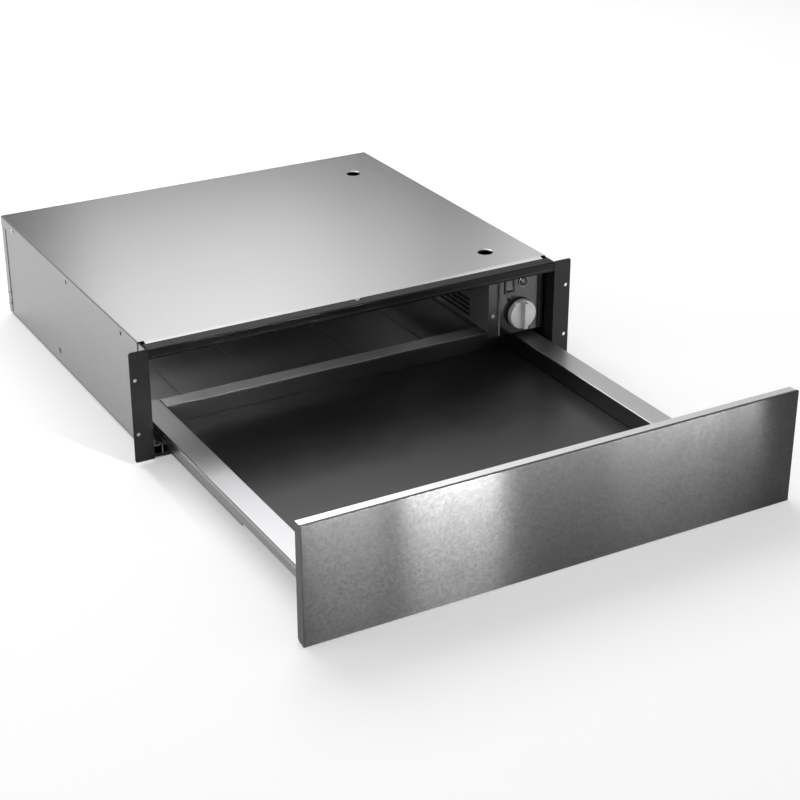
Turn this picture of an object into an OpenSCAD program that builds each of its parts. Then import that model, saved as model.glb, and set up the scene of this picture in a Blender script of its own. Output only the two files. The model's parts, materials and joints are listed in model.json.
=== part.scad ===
// Built in warming drawer for a 560 mm niche, with the drawer pulled out.
// Origin: centre of the casing's underside. +X right, +Y into the niche, +Z up.

/* [Casing] */
// Depth from the face of the mounting flanges to the back
casing_d = 500; // [490:1:560]
// Height of the casing
casing_h = 136; // [132:1:170]
// Thickness of the casing sheet
sheet = 0.8; // [0.6:0.1:1]
// Inner radius of the sheet's bends
bend_r = 0.8; // [0.4:0.1:1.2]
// Depth of the top cover's side flanges
cover_lap = 13.8; // [10:0.2:18]
// Depth of the rear panel's side laps
rear_lap = 13; // [10:0.5:18]
// Height at which the rear panel's side laps begin
rear_lap_base = 4.4; // [3:0.2:8]
// Width of the side panels' inward flanges
side_flange = 12; // [8:0.5:16]
// Distance from the flange face to the top cover's front edge
cover_setback = 26; // [22:0.5:40]
// Radius of the two round holes in the top cover
cover_hole_r = 9; // [5:0.5:12]
// Distance of the round holes from the top cover's side
cover_hole_inset = 60.4; // [46:0.2:150]
// Distance between the round holes
cover_hole_pitch = 351; // [200:1:380]
// Distance of the rear round hole from the back
cover_hole_back = 77; // [40:1:110]
// Height of the beads in the bottom panel
bead_h = 1.6; // [1:0.1:2.4]
// Width of a bead
bead_w = 18; // [12:1:26]
// Thickness of the ceiling liner
liner_t = 0.6; // [0.5:0.1:1]

/* [Front panel] */
// Width of the front panel
panel_w = 594; // [590:1:620]
// How far the panel stands out beyond the mounting flanges on each side
panel_overhang = 2.3; // [1:0.1:8]
// Distance from the casing's top to the panel's upper edge
panel_top_gap = 6; // [4:0.5:10]
// Thickness of the front panel
panel_t = 14; // [12:0.5:20]
// How far the panel hangs below the casing's underside
panel_drop = 3; // [0:0.5:6]
// Thickness of the stainless skin
skin_t = 1.2; // [0.8:0.1:1.5]
// Depth of the skin's turned edge
skin_return = 3.5; // [2.5:0.1:5]
// Width of the shadow gap between skin and carrier
shadow_gap = 0.8; // [0.5:0.1:1.5]
// Wall of the carrier pan
carrier_wall = 1; // [0.8:0.1:1.5]
// Gap between the closed panel and the mounting flanges
closed_gap = 3.5; // [3:0.1:5]

/* [Drawer] */
// Distance that the drawer is pulled out at rest
drawer_open = 410; // [300:5:430]
// Gap between a drawer side and the casing's wall
drawer_gap = 10; // [9.4:0.1:14]
// Height of the drawer side's top face above the underside
drawer_top = 34.6; // [34:0.2:40]
// Width of a drawer side's top face
side_w = 30.4; // [28:0.2:36]
// Gap between the closed drawer and the rear panel
drawer_back_gap = 13.2; // [13:0.1:30]
// Thickness of the drawer's sheet
drawer_sheet = 0.8; // [0.6:0.1:1]
// Depth of the drawer side's outer lip
drawer_lip = 5; // [3:0.5:8]
// Width of the back profile's top face
back_w = 23.5; // [16:0.5:30]
// Height of the drawer floor above the underside
drawer_floor = 9.6; // [9:0.1:12]
// Width of the seats that carry the floor pan
floor_seat = 10; // [6:0.5:14]
// Thickness of the mat
mat_t = 1.7; // [1:0.1:3]

/* [Runners] */
// Distance from the rear end of the cabinet rail to the casing's back
rail_end_gap = 15; // [14:1:55]
// Distance from the flange face to the front end of the cabinet rail
rail_setback = 5; // [3:0.5:12]
// Thickness of the runner steel
rail_t = 1.4; // [1.2:0.1:1.5]
// Outer width of the cabinet and drawer members
rail_w = 18; // [18:0.1:19]
// Distance from the casing's wall to the runner's middle
rail_inset = 21.4; // [20.9:0.1:24]
// Height of the cabinet member's track
cabinet_track_h = 13.6; // [13.4:0.1:14]
// Height of the drawer member's track
drawer_track_h = 16.8; // [16.4:0.1:17]
// Outer width of the middle member
mid_w = 8.4; // [8.2:0.1:8.6]
// Radius of a ball
ball_r = 2; // [1.9:0.05:2]
// Balls in one row of a cage
balls_in_row = 6; // [3:1:8]
// Distance between the balls of a row
ball_pitch = 36; // [24:1:40]
// Thickness of the cage strip
cage_t = 0.8; // [0.6:0.1:0.9]
// Running clearance of the balls
ball_gap = 0.05; // [0.03:0.01:0.08]

/* [Mounting brackets] */
// Thickness of the bracket steel
bracket_t = 1.2; // [1:0.1:1.5]
// Width of a mounting flange beyond the top cover's side
flange_w = 20.7; // [14:0.1:26]
// Height of a bracket's lower end above the casing's underside
bracket_low = 0.2; // [0:0.1:2]
// How much taller a bracket is than the casing
bracket_extra = 0.6; // [-2:0.1:4]
// Depth of the bracket's return leg
bracket_leg = 19; // [14:0.5:24]
// Distance from a flange's outer edge to its screw holes
screw_inset = 5.9; // [4.5:0.1:9]
// Distance between the upper and the lower screw holes
screw_span_z = 67; // [40:1:90]
// Radius of a screw hole
screw_hole_r = 2.25; // [1.5:0.05:2.5]
// Radius of the flange's outer corners
bracket_corner_r = 3; // [1:0.5:5]

/* [Top rail] */
// Thickness of the top rail's steel
top_rail_t = 1.2; // [1:0.1:1.6]
// Depth of the top rail's top face
top_rail_d = 17; // [12:0.5:20]
// Height of the top rail's front face
top_rail_h = 13; // [11:0.5:16]
// Depth of the top rail's lower lip
top_rail_lip = 9; // [6:0.5:14]
// Distance from the rail's lower edge to the seal strip
seal_base = 3; // [2:0.1:5]
// Width of the seal strip
seal_w = 1.8; // [1.2:0.1:3]
// Depth of the groove that holds the seal strip
seal_groove = 0.6; // [0.4:0.1:0.8]
// How far the seal strip ends before the rail does
seal_inset = 4; // [2:0.5:12]

/* [Control box] */
// Distance from the top cover's side to the control box's louvre wall
box_w = 84; // [79:0.5:94]
// Thickness of the control box sheet
box_sheet = 1; // [0.8:0.1:1.2]
// Height of the control box's floor
box_base = 47.7; // [46:0.1:52]
// Height of the lower edge of the control box's front wall
box_front_base = 40.5; // [38:0.5:44]
// Distance from the flange face to the control box's front wall
box_setback = 23.5; // [22.5:0.5:26]
// Width of the front wall left of the fascia
front_strip_w = 14.5; // [13:0.5:18]
// Number of louvres
louvre_count = 4; // [2:1:6]
// Distance between louvres
louvre_pitch = 6.6; // [6:0.1:8]
// Distance from the control box's floor to the lowest louvre
louvre_low = 7.7; // [6:0.1:12]
// Height of a louvre slot
louvre_h = 3; // [2:0.1:3.5]
// Length of a louvre
louvre_len = 110; // [60:1:130]
// Distance from the front wall to the louvres
louvre_setback = 45; // [40:1:60]
// Radius of an air intake hole
intake_r = 2.5; // [1.5:0.1:3]
// Distance between air intake holes
intake_pitch = 8; // [7:0.5:10]

/* [Controls] */
// Width of the fascia
fascia_w = 57; // [56:0.5:60]
// Height of the fascia
fascia_h = 84; // [80:0.5:86]
// Depth of the fascia's turned edge
fascia_d = 4; // [3:0.5:5]
// Wall of the fascia
fascia_wall = 1.5; // [1:0.1:2]
// Diameter of the knob
knob_d = 37; // [34:0.5:38]
// Height of the knob's disc
knob_disc_h = 6.4; // [5:0.1:7]
// Height of the knob's grip bar above the disc
knob_grip_h = 7.2; // [5:0.1:8]
// Width of the knob's grip bar
knob_grip_w = 6.8; // [5:0.2:10]
// Distance from the fascia's left edge to the knob's axis
knob_inset = 28.9; // [27.5:0.1:30]
// Height of the knob's axis above the fascia's lower edge
knob_rise = 26.5; // [25:0.1:29]
// Thickness of the collar behind the knob
collar_t = 3; // [2:0.1:3.4]
// Radius of the control spindle
spindle_r = 3; // [2.5:0.1:3.5]
// Width of the rocker switch bezel
rocker_w = 15; // [13:0.5:16]
// Height of the rocker switch bezel
rocker_h = 21; // [19:0.5:22]
// Distance from the fascia's left edge to the rocker switch's middle
rocker_inset = 13; // [12:0.1:14]
// Height of the rocker switch's middle above the fascia's lower edge
rocker_rise = 66; // [63:0.1:68]
// Distance from the fascia's left edge to the indicator lamp
lamp_inset = 33; // [31:0.1:36]
// Height of the indicator lamp above the fascia's lower edge
lamp_rise = 67.3; // [64:0.1:69]
// Radius of the indicator lamp's ring
lamp_ring_r = 7; // [6:0.5:8]

/* [Air heater] */
// Radius of the blower wheel
wheel_r = 30; // [24:0.5:31]
// Width of the blower wheel
wheel_w = 24; // [16:0.5:26]
// Number of wheel blades
wheel_blades = 18; // [8:1:24]
// Wall of the blower housing
blower_wall = 1.6; // [1.2:0.1:2.5]
// Distance from the casing's middle to the wheel's axis
blower_y = 30; // [20:1:50]
// Radius of the blower motor
motor_r = 20; // [14:0.5:24]
// Length of the blower motor
motor_len = 24; // [16:0.5:26]
// Radius of the heating element's tube
heater_r = 3.3; // [2.5:0.1:4]
// Distance between the runs of the heating element
heater_pitch = 20; // [16:0.5:22]
// Length of a straight run of the heating element
heater_run = 88; // [60:1:100]

/* [Push latch] */
// Width of the push latch body
latch_w = 52; // [40:1:70]
// Length of the push latch body
latch_len = 62; // [50:1:80]
// Height of the push latch body
latch_h = 6.2; // [5.5:0.1:6.6]
// Width of the plunger
plunger_w = 12; // [8:0.5:16]
// Thickness of the plunger
plunger_t = 2.8; // [2:0.1:3]
// Length of the plunger
plunger_len = 52; // [46:1:60]
// How far the plunger stands out of its body at rest
plunger_out = 20; // [16:0.5:24]
// Travel of the plunger
plunger_travel = 6; // [4:0.5:8]

/* [Fasteners] */
// Radius of a casing screw's head
screw_head_r = 3; // [2:0.1:3.5]
// Height of a casing screw's head
screw_head_h = 1.6; // [1:0.1:2]
// Radius of a casing screw's shank
screw_r = 1.45; // [1:0.05:1.6]
// Length of a casing screw's shank
screw_len = 6; // [4:0.5:8]

/* [Hidden] */
$fn = 48;

// One overrun serves all cuts
over = 1;
// Play between loose neighbours of one body
play = 0.3;
// Steps in the arc of one sheet bend
bend_steps = 4;
// Room that a square edge leaves for the inside of a bend
bend_play = 0.15;
bend_room = bend_r + bend_play;

// Widths, derived
bracket_span = panel_w - 2 * panel_overhang;
casing_w = bracket_span - 2 * flange_w;
screw_span_x = bracket_span - 2 * screw_inset;

// Casing, derived
half_w = casing_w / 2;
front_y = -casing_d / 2;
rear_y = casing_d / 2;
shell_x = half_w - sheet;
wall_x = shell_x - sheet;
shell_top = casing_h - sheet;
back_wall_y = rear_y - sheet;
rail_seat_z = 2 * sheet;
cover_y = front_y + cover_setback;
joggle_top = casing_h - top_rail_t;
joggle_y = front_y + top_rail_t + bend_room;
joggle_run = 4.5;
joggle_bend = sheet * tan(atan(top_rail_t / joggle_run) / 2);
cover_notch_w = 3.6;
cover_notch_h = 4.6;
cover_notch_low = 3.2;
cover_notch_z = casing_h - cover_lap + cover_notch_low;
cover_notch_shares = [0.51, 0.153];
side_hole_r = 4;
side_hole_y = 50.9;
side_hole_z = 18.3;
vent_count = 7;
vent_w = 2.6;
vent_len = 20;
vent_drop = 30;
vent_pitch = 7;
bead_inset = 40;
bead_x_shares = [-0.62, -0.26, 0.26, 0.62];
hem_w = 12;
hole_roll = 1.6;
cover_hole_x = half_w - cover_hole_inset;
cover_hole_ys = [rear_y - cover_hole_back - cover_hole_pitch, rear_y - cover_hole_back];
rail_screw_y = front_y + top_rail_d - screw_head_r - play;
rear_screw_low = 9;
rear_screw_step = 16.3;
rear_screw_y = rear_y - rear_lap / 2;
rear_screw_zs = [rear_lap_base + rear_screw_low, rear_lap_base + rear_screw_low + rear_screw_step];
cover_screw_back = 45;
cover_screw_y = rear_y - cover_screw_back;
cover_screw_z = casing_h - cover_lap / 2 - sheet;
screw_taper_share = 0.82;
slot_len_share = 0.55;
slot_w_share = 0.14;

// Front panel, derived
open_y = front_y - closed_gap - drawer_open;
panel_back_y = open_y;
panel_front_y = panel_back_y - panel_t;
panel_base = -panel_drop;
panel_top = casing_h - panel_top_gap;
carrier_inset = 0.6;
carrier_chamfer = 3;

// Drawer, derived
drawer_x = wall_x - drawer_gap;
drawer_d = closed_gap + casing_d - sheet - drawer_back_gap;
inner_x = drawer_x - side_w;
drawer_back_y = panel_back_y + drawer_d;
inner_back_y = drawer_back_y - back_w;
mat_base = drawer_floor + drawer_sheet;
drawer_bend = drawer_sheet + bend_r;

// Runners, derived
rail_len = casing_d - rail_setback - rail_end_gap;
rail_x = wall_x - rail_inset;
rail_center_y = front_y + rail_setback + rail_len / 2;
mid_share = 0.5;
outer_cage_share = 0.25;
inner_cage_share = 0.75;
track_in = rail_w / 2 - rail_t;
ball_x = (track_in + mid_w / 2) / 2;
ball_run_r = ball_r + ball_gap;
ball_seat = 8.4;
lower_ball_z = rail_seat_z + ball_seat;
upper_ball_z = drawer_top - drawer_sheet - ball_seat;
track_lip = 2.6;
mid_foot = 5;
mid_low_z = rail_seat_z + mid_foot;
mid_high_z = drawer_top - drawer_sheet - mid_foot;
mid_web_z = (rail_seat_z + cabinet_track_h + drawer_top - drawer_sheet - drawer_track_h) / 2;
cage_hug = 0.45;
cage_half = ball_x + cage_hug;
cage_foot = 3;
cage_hole_r = ball_r + ball_gap;
cage_rim = 2.8;
cage_len = (balls_in_row - 1) * ball_pitch + 6 * ball_r;
hook_rise = 20;
hook_w = 4;
hook_drop = 7.5;
hook_reach = 5.9;
hook_end = 3.9;
hook_bend = 1.8;
rail_screw_rise = 5.9;
rail_screw_z = rail_seat_z + rail_screw_rise;
rail_screw_shares = [-0.4, 0, 0.4];
rail_screw_head_r = 2.6;
rail_screw_head_h = 1.4;

// Mounting brackets, derived
bracket_h = casing_h + bracket_extra;
screw_mid_z = bracket_low + bracket_h / 2;
bracket_back_y = front_y + bracket_t;
leg_rise = 6;
leg_base = rail_seat_z + hook_rise + leg_rise;
leg_top = shell_top - sheet - play;

// Top rail, derived
rail_low_z = casing_h - top_rail_h;
rail_half = wall_x - bracket_t - play;
joggle_end = 5;
joggle_half = rail_half - joggle_end;
seal_z = rail_low_z + seal_base;
seal_proud = 0.3;
seal_half = rail_half - seal_inset;
seal_slant = 40;
liner_z = rail_low_z + top_rail_t;

// Control box, derived
box_x = half_w - box_w;
box_front_y = front_y + box_setback;
box_right = wall_x - bracket_t - play;
box_top = casing_h - sheet - hole_roll - play;
box_back_y = back_wall_y;
box_inner_y = box_front_y + box_sheet;
louvre_y = box_front_y + louvre_setback;
louvre_base = box_base + louvre_low;
louvre_reach = 3.4;
louvre_rise = 2.6;
louvre_bite = 0.05;
intake_rows = 5;
intake_cols = 7;
strip_screw_share = 0.4;
fascia_x = box_x + front_strip_w;
fascia_rise = 2;
fascia_base = box_front_base + fascia_rise;
strip_screw_rise = 27.5;
strip_screw_z = fascia_base + strip_screw_rise;
fascia_front_y = box_front_y - fascia_d;

// Controls, derived
knob_x = fascia_x + knob_inset;
knob_z = fascia_base + knob_rise;
rocker_x = fascia_x + rocker_inset;
rocker_z = fascia_base + rocker_rise;
lamp_x = fascia_x + lamp_inset;
lamp_z = fascia_base + lamp_rise;
knob_skirt_r = 19.5;
collar_r = 20.3;
knob_disc_y = fascia_front_y - collar_t;
knob_face_y = knob_disc_y - knob_disc_h;
knob_edge = 0.8;
grip_overhang = 0.6;
pointer_angle = -34;
pointer_len = 4.6;
pointer_w = 7;
pointer_t = 2;
spindle_gap = 0.05;
collar_bore = 6;
collar_bevel = 0.8;
thermostat_w = 34;
thermostat_h = 30;
thermostat_d = 26;
spindle_in = 18;
thermostat_low_share = 0.6;
bezel_t = 1.4;
rocker_body_inset = 1.2;
rocker_body_d = 19;
rocker_well_d = 9;
rocker_wall = 1.3;
rocker_gap = 0.35;
rocker_face_w = rocker_w - 2 * rocker_body_inset - 2 * rocker_wall - 2 * rocker_gap;
rocker_travel = 16;
rocker_vee = 8;
rocker_face_share = 0.42;
rocker_back_share = 0.2;
rocker_pin_r = 1;
rocker_hub_d = 3.2;
rocker_hub_y = fascia_front_y + rocker_hub_d;
lamp_body_r = 4.6;
lamp_body_d = 15;
lamp_ring_w = 1.3;
lamp_ring_t = 1.6;
lamp_dome = 1.2;
lamp_seat = 0.5;
lens_curve_r = 14;

// Air heater, derived
wheel_play = 3;
scroll_r = wheel_r + wheel_play + blower_wall;
blower_z = box_base + box_sheet + scroll_r + play;
blower_inset = 6;
blower_x0 = box_x + box_sheet + blower_inset;
blower_len = wheel_w + 2 * wheel_play + 2 * blower_wall;
wheel_x0 = blower_x0 + blower_wall + wheel_play;
shaft_r = 2.5;
shaft_gap = 0.05;
hub_r = 6;
blade_t = 1;
blade_depth = 8;
blade_root = 0.6;
wheel_ring_t = 1.2;
inlet_r = 20;
outlet_h = 40;
outlet_run = 12;
outlet_y = blower_y - scroll_r - outlet_run;
blade_lean = 25;
motor_cap_t = 4;
motor_cap_share = 0.7;
heater_inset = 34;
heater_rise = 16;
heater_back_gap = 4;
heater_x = box_x + box_sheet + heater_inset;
heater_z0 = box_base + box_sheet + heater_rise;
heater_back_y = louvre_y + louvre_len + heater_back_gap;
heater_plate_t = 2;
heater_plate_w = 30;
heater_foot = 14;
heater_plate_share = 0.3;
heater_pin_r = 1.6;
heater_pin_len = 9;
heater_fit = 0.05;
terminal_w = 40;
terminal_d = 22;
terminal_h = 17;
terminal_ways = 3;
terminal_hole_r = 2.4;
terminal_back = 60;
terminal_y = back_wall_y - terminal_back;
gland_inset = 42;
gland_rise = 44;
gland_x = box_x + gland_inset;
gland_z = box_base + gland_rise;
gland_bore_r = 4.2;
gland_body_r = 8.6;
gland_flange_r = 12;
gland_flange_t = 2.6;
gland_body_len = 15;
gland_nut_t = 5;
gland_fit = 0.05;

// Push latch, derived
latch_inset = 13;
latch_back_y = back_wall_y - latch_inset;
latch_y0 = latch_back_y - latch_len;
plunger_tip_y = latch_y0 - plunger_out;
plunger_rise = 1.2;
plunger_base = sheet + plunger_rise;
latch_ear = 9;
latch_step = 3;
striker_t = 7;
striker_w = 14;
striker_foot = 3.4;
strike_gap = 0.3;

// Panel fixing, derived
fix_t = 1.5;
fix_leg = 30;
fix_rise = 20;
fix_w = 24;
fix_seat = 2;
fix_base = drawer_floor + fix_seat;
panel_screw_r = 1.8;
panel_screw_head_r = 3.1;
panel_screw_head_h = 1.2;
panel_screw_x = inner_x + drawer_sheet + fix_w / 2 + fix_t;
panel_screw_zs = [fix_base + fix_rise / 4, fix_base + fix_rise * 3 / 4];
bumper_r = 5;
bumper_t = 2.6;
bumper_inset = 14;

function unit(v) = v / norm(v);
function normal(v) = [-v[1], v[0]];

// Points of the arc that rounds corner b of a path from a to c
function bend_arc(a, b, c, r) =
    let (u = unit(a - b))
    let (v = unit(c - b))
    let (half = acos(u * v) / 2)
    let (centre = b + unit(u + v) * r / sin(half))
    let (start = b + u * r / tan(half) - centre)
    let (sweep = (180 - 2 * half) * sign(u[0] * v[1] - u[1] * v[0]) * -1)
    [for (k = [0 : bend_steps])
        let (t = sweep * k / bend_steps)
        centre + [start[0] * cos(t) - start[1] * sin(t), start[0] * sin(t) + start[1] * cos(t)]];

// A path with its inner corners rounded
function rounded(path, r) = [
    path[0],
    for (i = [1 : len(path) - 2]) each bend_arc(path[i - 1], path[i], path[i + 1], r),
    path[len(path) - 1]
];

// Point i of a path moved to its left by d
function moved(path, i, d) =
    let (last = len(path) - 1)
    let (before = i > 0 ? normal(unit(path[i] - path[i - 1])) : normal(unit(path[1] - path[0])))
    let (after = i < last ? normal(unit(path[i + 1] - path[i])) : before)
    path[i] + (before + after) * d / (1 + before * after);

// Section of a sheet of thickness t that lies to the left of a path
module fold(path, t, r) {
    points = rounded(path, r);
    last = len(points) - 1;
    polygon(concat(points, [for (i = [last : -1 : 0]) moved(points, i, t)]));
}

// A box between two opposite corners
module block(low, high) {
    translate(low) cube(high - low);
}

// An (x, z) section carried along y
module along_y(y0, y1) {
    translate([0, y1, 0]) rotate([90, 0, 0]) linear_extrude(height = y1 - y0) children();
}

// A (y, z) section carried along x
module along_x(x0, x1) {
    translate([x0, 0, 0]) rotate([90, 0, 90]) linear_extrude(height = x1 - x0) children();
}

// Right-hand geometry, or its mirror image on the left
module on_side(side) {
    if (side < 0) mirror([1, 0, 0]) children();
    else children();
}

// A round bar along x, y or z
module bar_x(x0, x1, r) {
    translate([x0, 0, 0]) rotate([0, 90, 0]) cylinder(h = x1 - x0, r = r);
}
module bar_y(y0, y1, r) {
    translate([0, y1, 0]) rotate([90, 0, 0]) cylinder(h = y1 - y0, r = r);
}

// A pan head screw whose head rests on z = 0 and whose shank points down
module screw(head_r, head_h, shank_r, shank_len) {
    difference() {
        cylinder(h = head_h, r1 = head_r, r2 = head_r * screw_taper_share);
        for (turn = [0, 90])
            rotate([0, 0, turn])
                translate([-head_r * slot_len_share, -head_r * slot_w_share, head_h / 2])
                    cube([2 * head_r * slot_len_share, 2 * head_r * slot_w_share, head_h]);
    }
    translate([0, 0, -shank_len]) cylinder(h = shank_len, r = shank_r);
}

// Flat outline with round ends along y
module capsule(len, w) {
    square([w, len - w], center = true);
    for (end = [-1, 1]) translate([0, end * (len - w) / 2]) circle(d = w);
}

module bottom_panel() {
    color("silver")
    difference() {
        union() {
            block([-shell_x, bracket_back_y, 0], [shell_x, back_wall_y, sheet]);
            // Hemmed front edge between the runners
            block([-inner_x, bracket_back_y, sheet], [inner_x, bracket_back_y + hem_w, 2 * sheet]);
            for (share = bead_x_shares)
                translate([share * half_w, 0, 0])
                    linear_extrude(height = bead_h + sheet)
                        capsule(casing_d - 2 * bead_inset, bead_w);
        }
        for (share = bead_x_shares)
            translate([share * half_w, 0, -over])
                linear_extrude(height = bead_h + over)
                    capsule(casing_d - 2 * bead_inset - 2 * sheet, bead_w - 2 * sheet);
    }
}

module side_panel(side) {
    color("gainsboro")
    difference() {
        on_side(side)
            along_y(bracket_back_y, back_wall_y - bend_room)
                fold([
                    [shell_x - side_flange, sheet],
                    [shell_x, sheet],
                    [shell_x, shell_top],
                    [shell_x - side_flange, shell_top]
                ], sheet, sheet + bend_r);
        // The top flange begins behind the top rail and the cover's joggled edge
        on_side(side)
            block([shell_x - side_flange - over, bracket_back_y - over, casing_h - cover_lap],
                  [wall_x, cover_y + sheet + play, shell_top + over]);
        on_side(side)
            translate([0, side_hole_y, side_hole_z]) bar_x(wall_x - over, shell_x + over, side_hole_r);
        on_side(side)
            lock_slots();
        on_side(side)
            for (share = rail_screw_shares)
                translate([0, rail_center_y + share * rail_len, rail_screw_z])
                    bar_x(wall_x - over, shell_x + over, screw_r);
        for (z = rear_screw_zs)
            on_side(side)
                translate([0, rear_screw_y, z]) bar_x(wall_x - over, shell_x + over, screw_r);
        on_side(side)
            translate([0, cover_screw_y, cover_screw_z]) bar_x(wall_x - over, shell_x + over, screw_r);
    }
}

module rear_panel() {
    color("gainsboro")
    difference() {
        translate([0, 0, sheet])
            linear_extrude(height = shell_top - sheet)
                fold([
                    [half_w, rear_y - rear_lap],
                    [half_w, rear_y],
                    [-half_w, rear_y],
                    [-half_w, rear_y - rear_lap]
                ], sheet, sheet + bend_r);
        // The cover's flanges take the place of the laps at the top
        for (side = [-1, 1])
            on_side(side) {
                block([shell_x, rear_y - rear_lap - over, casing_h - cover_lap - play],
                      [half_w + over, rear_y + over, casing_h + over]);
                block([shell_x, rear_y - rear_lap - over, -over],
                      [half_w + over, rear_y + over, rear_lap_base]);
                for (z = rear_screw_zs)
                    translate([0, rear_screw_y, z]) bar_x(wall_x - over, half_w + over, screw_r);
            }
        // Air slots behind the control box
        for (i = [0 : vent_count - 1])
            translate([gland_x + (i - (vent_count - 1) / 2) * vent_pitch, 0, gland_z - vent_drop])
                rear_slot();
        translate([gland_x, 0, gland_z]) bar_y(back_wall_y - over, rear_y + over, gland_body_r + gland_fit);
    }
}

module rear_slot() {
    translate([0, rear_y + over, 0])
        rotate([90, 0, 0])
            linear_extrude(height = sheet + 2 * over)
                capsule(vent_len, vent_w);
}

module top_cover() {
    color("lightgray")
    difference() {
        union() {
            along_y(cover_y, rear_y)
                fold([
                    [half_w, casing_h - cover_lap],
                    [half_w, casing_h],
                    [-half_w, casing_h],
                    [-half_w, casing_h - cover_lap]
                ], sheet, sheet + bend_r);
            // Joggled front edge that carries the top rail
            along_x(-joggle_half, joggle_half)
                polygon([
                    [cover_y + sheet, casing_h],
                    [cover_y, casing_h],
                    [cover_y - joggle_run, joggle_top],
                    [joggle_y, joggle_top],
                    [joggle_y, joggle_top - sheet],
                    [cover_y - joggle_run + joggle_bend, joggle_top - sheet],
                    [cover_y + joggle_bend, casing_h - sheet],
                    [cover_y + sheet, casing_h - sheet]
                ]);
            for (y = cover_hole_ys)
                translate([cover_hole_x, y, 0]) hole_collar();
        }
        for (y = cover_hole_ys)
            translate([cover_hole_x, y, 0]) hole_cut();
        for (side = [-1, 1])
            on_side(side) {
                translate([0, cover_screw_y, cover_screw_z])
                    bar_x(shell_x - over, half_w + over, screw_r);
                lock_slots();
            }
        translate([0, rail_screw_y, 0]) cylinder(h = casing_h + over, r = screw_r);
    }
}

// Slots for the lock tabs, through the cover's flange and the side panel behind it
module lock_slots() {
    for (share = cover_notch_shares)
        translate([0, front_y + casing_d * share, 0])
            block([wall_x - over, -cover_notch_w / 2, cover_notch_z],
                  [half_w + over, cover_notch_w / 2, cover_notch_z + cover_notch_h]);
}

// Collar that is drawn down round a hole in the cover
module hole_collar() {
    translate([0, 0, casing_h - sheet - hole_roll])
        cylinder(h = hole_roll + sheet, r = cover_hole_r + sheet + hole_roll / 2);
}

module hole_cut() {
    cylinder(h = casing_h + over, r = cover_hole_r);
    // The rolled entry
    rotate_extrude()
        difference() {
            translate([0, casing_h - hole_roll]) square([cover_hole_r + hole_roll, hole_roll + over]);
            translate([cover_hole_r + hole_roll, casing_h - hole_roll]) circle(r = hole_roll);
        }
}

module ceiling_liner() {
    color("silver")
    block([-rail_half, front_y + top_rail_t + bend_room, liner_z],
          [box_x - play, back_wall_y - play, liner_z + liner_t]);
}

module insulation_mat() {
    color("khaki")
    difference() {
        block([-half_w + screw_len + play, cover_y + hem_w + play, liner_z + liner_t],
              [box_x - play, back_wall_y - play, shell_top]);
        // Room for the side panel's top flange
        block([-wall_x, cover_y, shell_top - sheet - play],
              [-shell_x + side_flange + play, back_wall_y, shell_top + over]);
    }
}

module front_top_rail() {
    color("dimgray")
    difference() {
        along_x(-rail_half, rail_half)
            fold([
                [front_y + top_rail_lip, rail_low_z],
                [front_y, rail_low_z],
                [front_y, casing_h],
                [front_y + top_rail_d, casing_h]
            ], -top_rail_t, top_rail_t + bend_r);
        block([-seal_half, front_y - over, seal_z], [seal_half, front_y + seal_groove, seal_z + seal_w]);
        translate([0, rail_screw_y, 0]) cylinder(h = casing_h + over, r = screw_r);
    }
}

module rail_seal() {
    color("black")
    difference() {
        block([-seal_half, front_y - seal_proud, seal_z],
              [seal_half, front_y + seal_groove, seal_z + seal_w]);
        // Slanted ends
        for (side = [-1, 1])
            on_side(side)
                translate([seal_half, front_y + seal_groove, seal_z - over])
                    rotate([0, 0, seal_slant])
                        translate([0, -seal_w * 2, 0])
                            cube([seal_w * 2, seal_w * 4, seal_w + 2 * over]);
    }
}

// Flange outline with rounded outer corners
module bracket_face() {
    r = bracket_corner_r;
    difference() {
        translate([wall_x - bracket_t, bracket_low])
            square([bracket_span / 2 - wall_x + bracket_t, bracket_h]);
        for (z = [bracket_low, bracket_low + bracket_h]) {
            inward = z > screw_mid_z ? -r : r;
            difference() {
                translate([bracket_span / 2 - r / 2, z]) square([r + over, 2 * r], center = true);
                translate([bracket_span / 2 - r, z + inward]) circle(r = r);
            }
        }
    }
}

module mounting_bracket(side) {
    color("dimgray")
    on_side(side)
        difference() {
            union() {
                along_y(front_y, bracket_back_y) bracket_face();
                block([wall_x - bracket_t, front_y, leg_base], [wall_x, front_y + bracket_leg, leg_top]);
            }
            for (z = [screw_mid_z - screw_span_z / 2, screw_mid_z + screw_span_z / 2])
                translate([screw_span_x / 2, 0, z])
                    bar_y(front_y - over, bracket_back_y + over, screw_hole_r);
        }
}

// Sheet metal screws of the casing, all alike
module casing_screws() {
    color("lightgray") {
        for (side = [-1, 1])
            on_side(side) {
                for (z = rear_screw_zs)
                    translate([half_w, rear_screw_y, z]) rotate([0, 90, 0]) casing_screw();
                translate([half_w, cover_screw_y, cover_screw_z]) rotate([0, 90, 0]) casing_screw();
                for (share = rail_screw_shares)
                    translate([wall_x - rail_t, rail_center_y + share * rail_len, rail_screw_z])
                        rotate([0, -90, 0])
                            screw(rail_screw_head_r, rail_screw_head_h, screw_r, rail_t + 2 * sheet);
            }
        translate([0, rail_screw_y, casing_h]) casing_screw();
        translate([box_x + front_strip_w * strip_screw_share, box_front_y, strip_screw_z])
            rotate([90, 0, 0]) casing_screw();
    }
}

module casing_screw() {
    screw(screw_head_r, screw_head_h, screw_r, screw_len);
}

// Blade that stands behind a louvre slot
module louvre_blade() {
    polygon([
        [box_x + box_sheet, 0],
        [box_x + box_sheet + louvre_reach, louvre_rise],
        [box_x + box_sheet + louvre_reach, louvre_rise + box_sheet],
        [box_x + box_sheet, box_sheet]
    ]);
}

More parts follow.
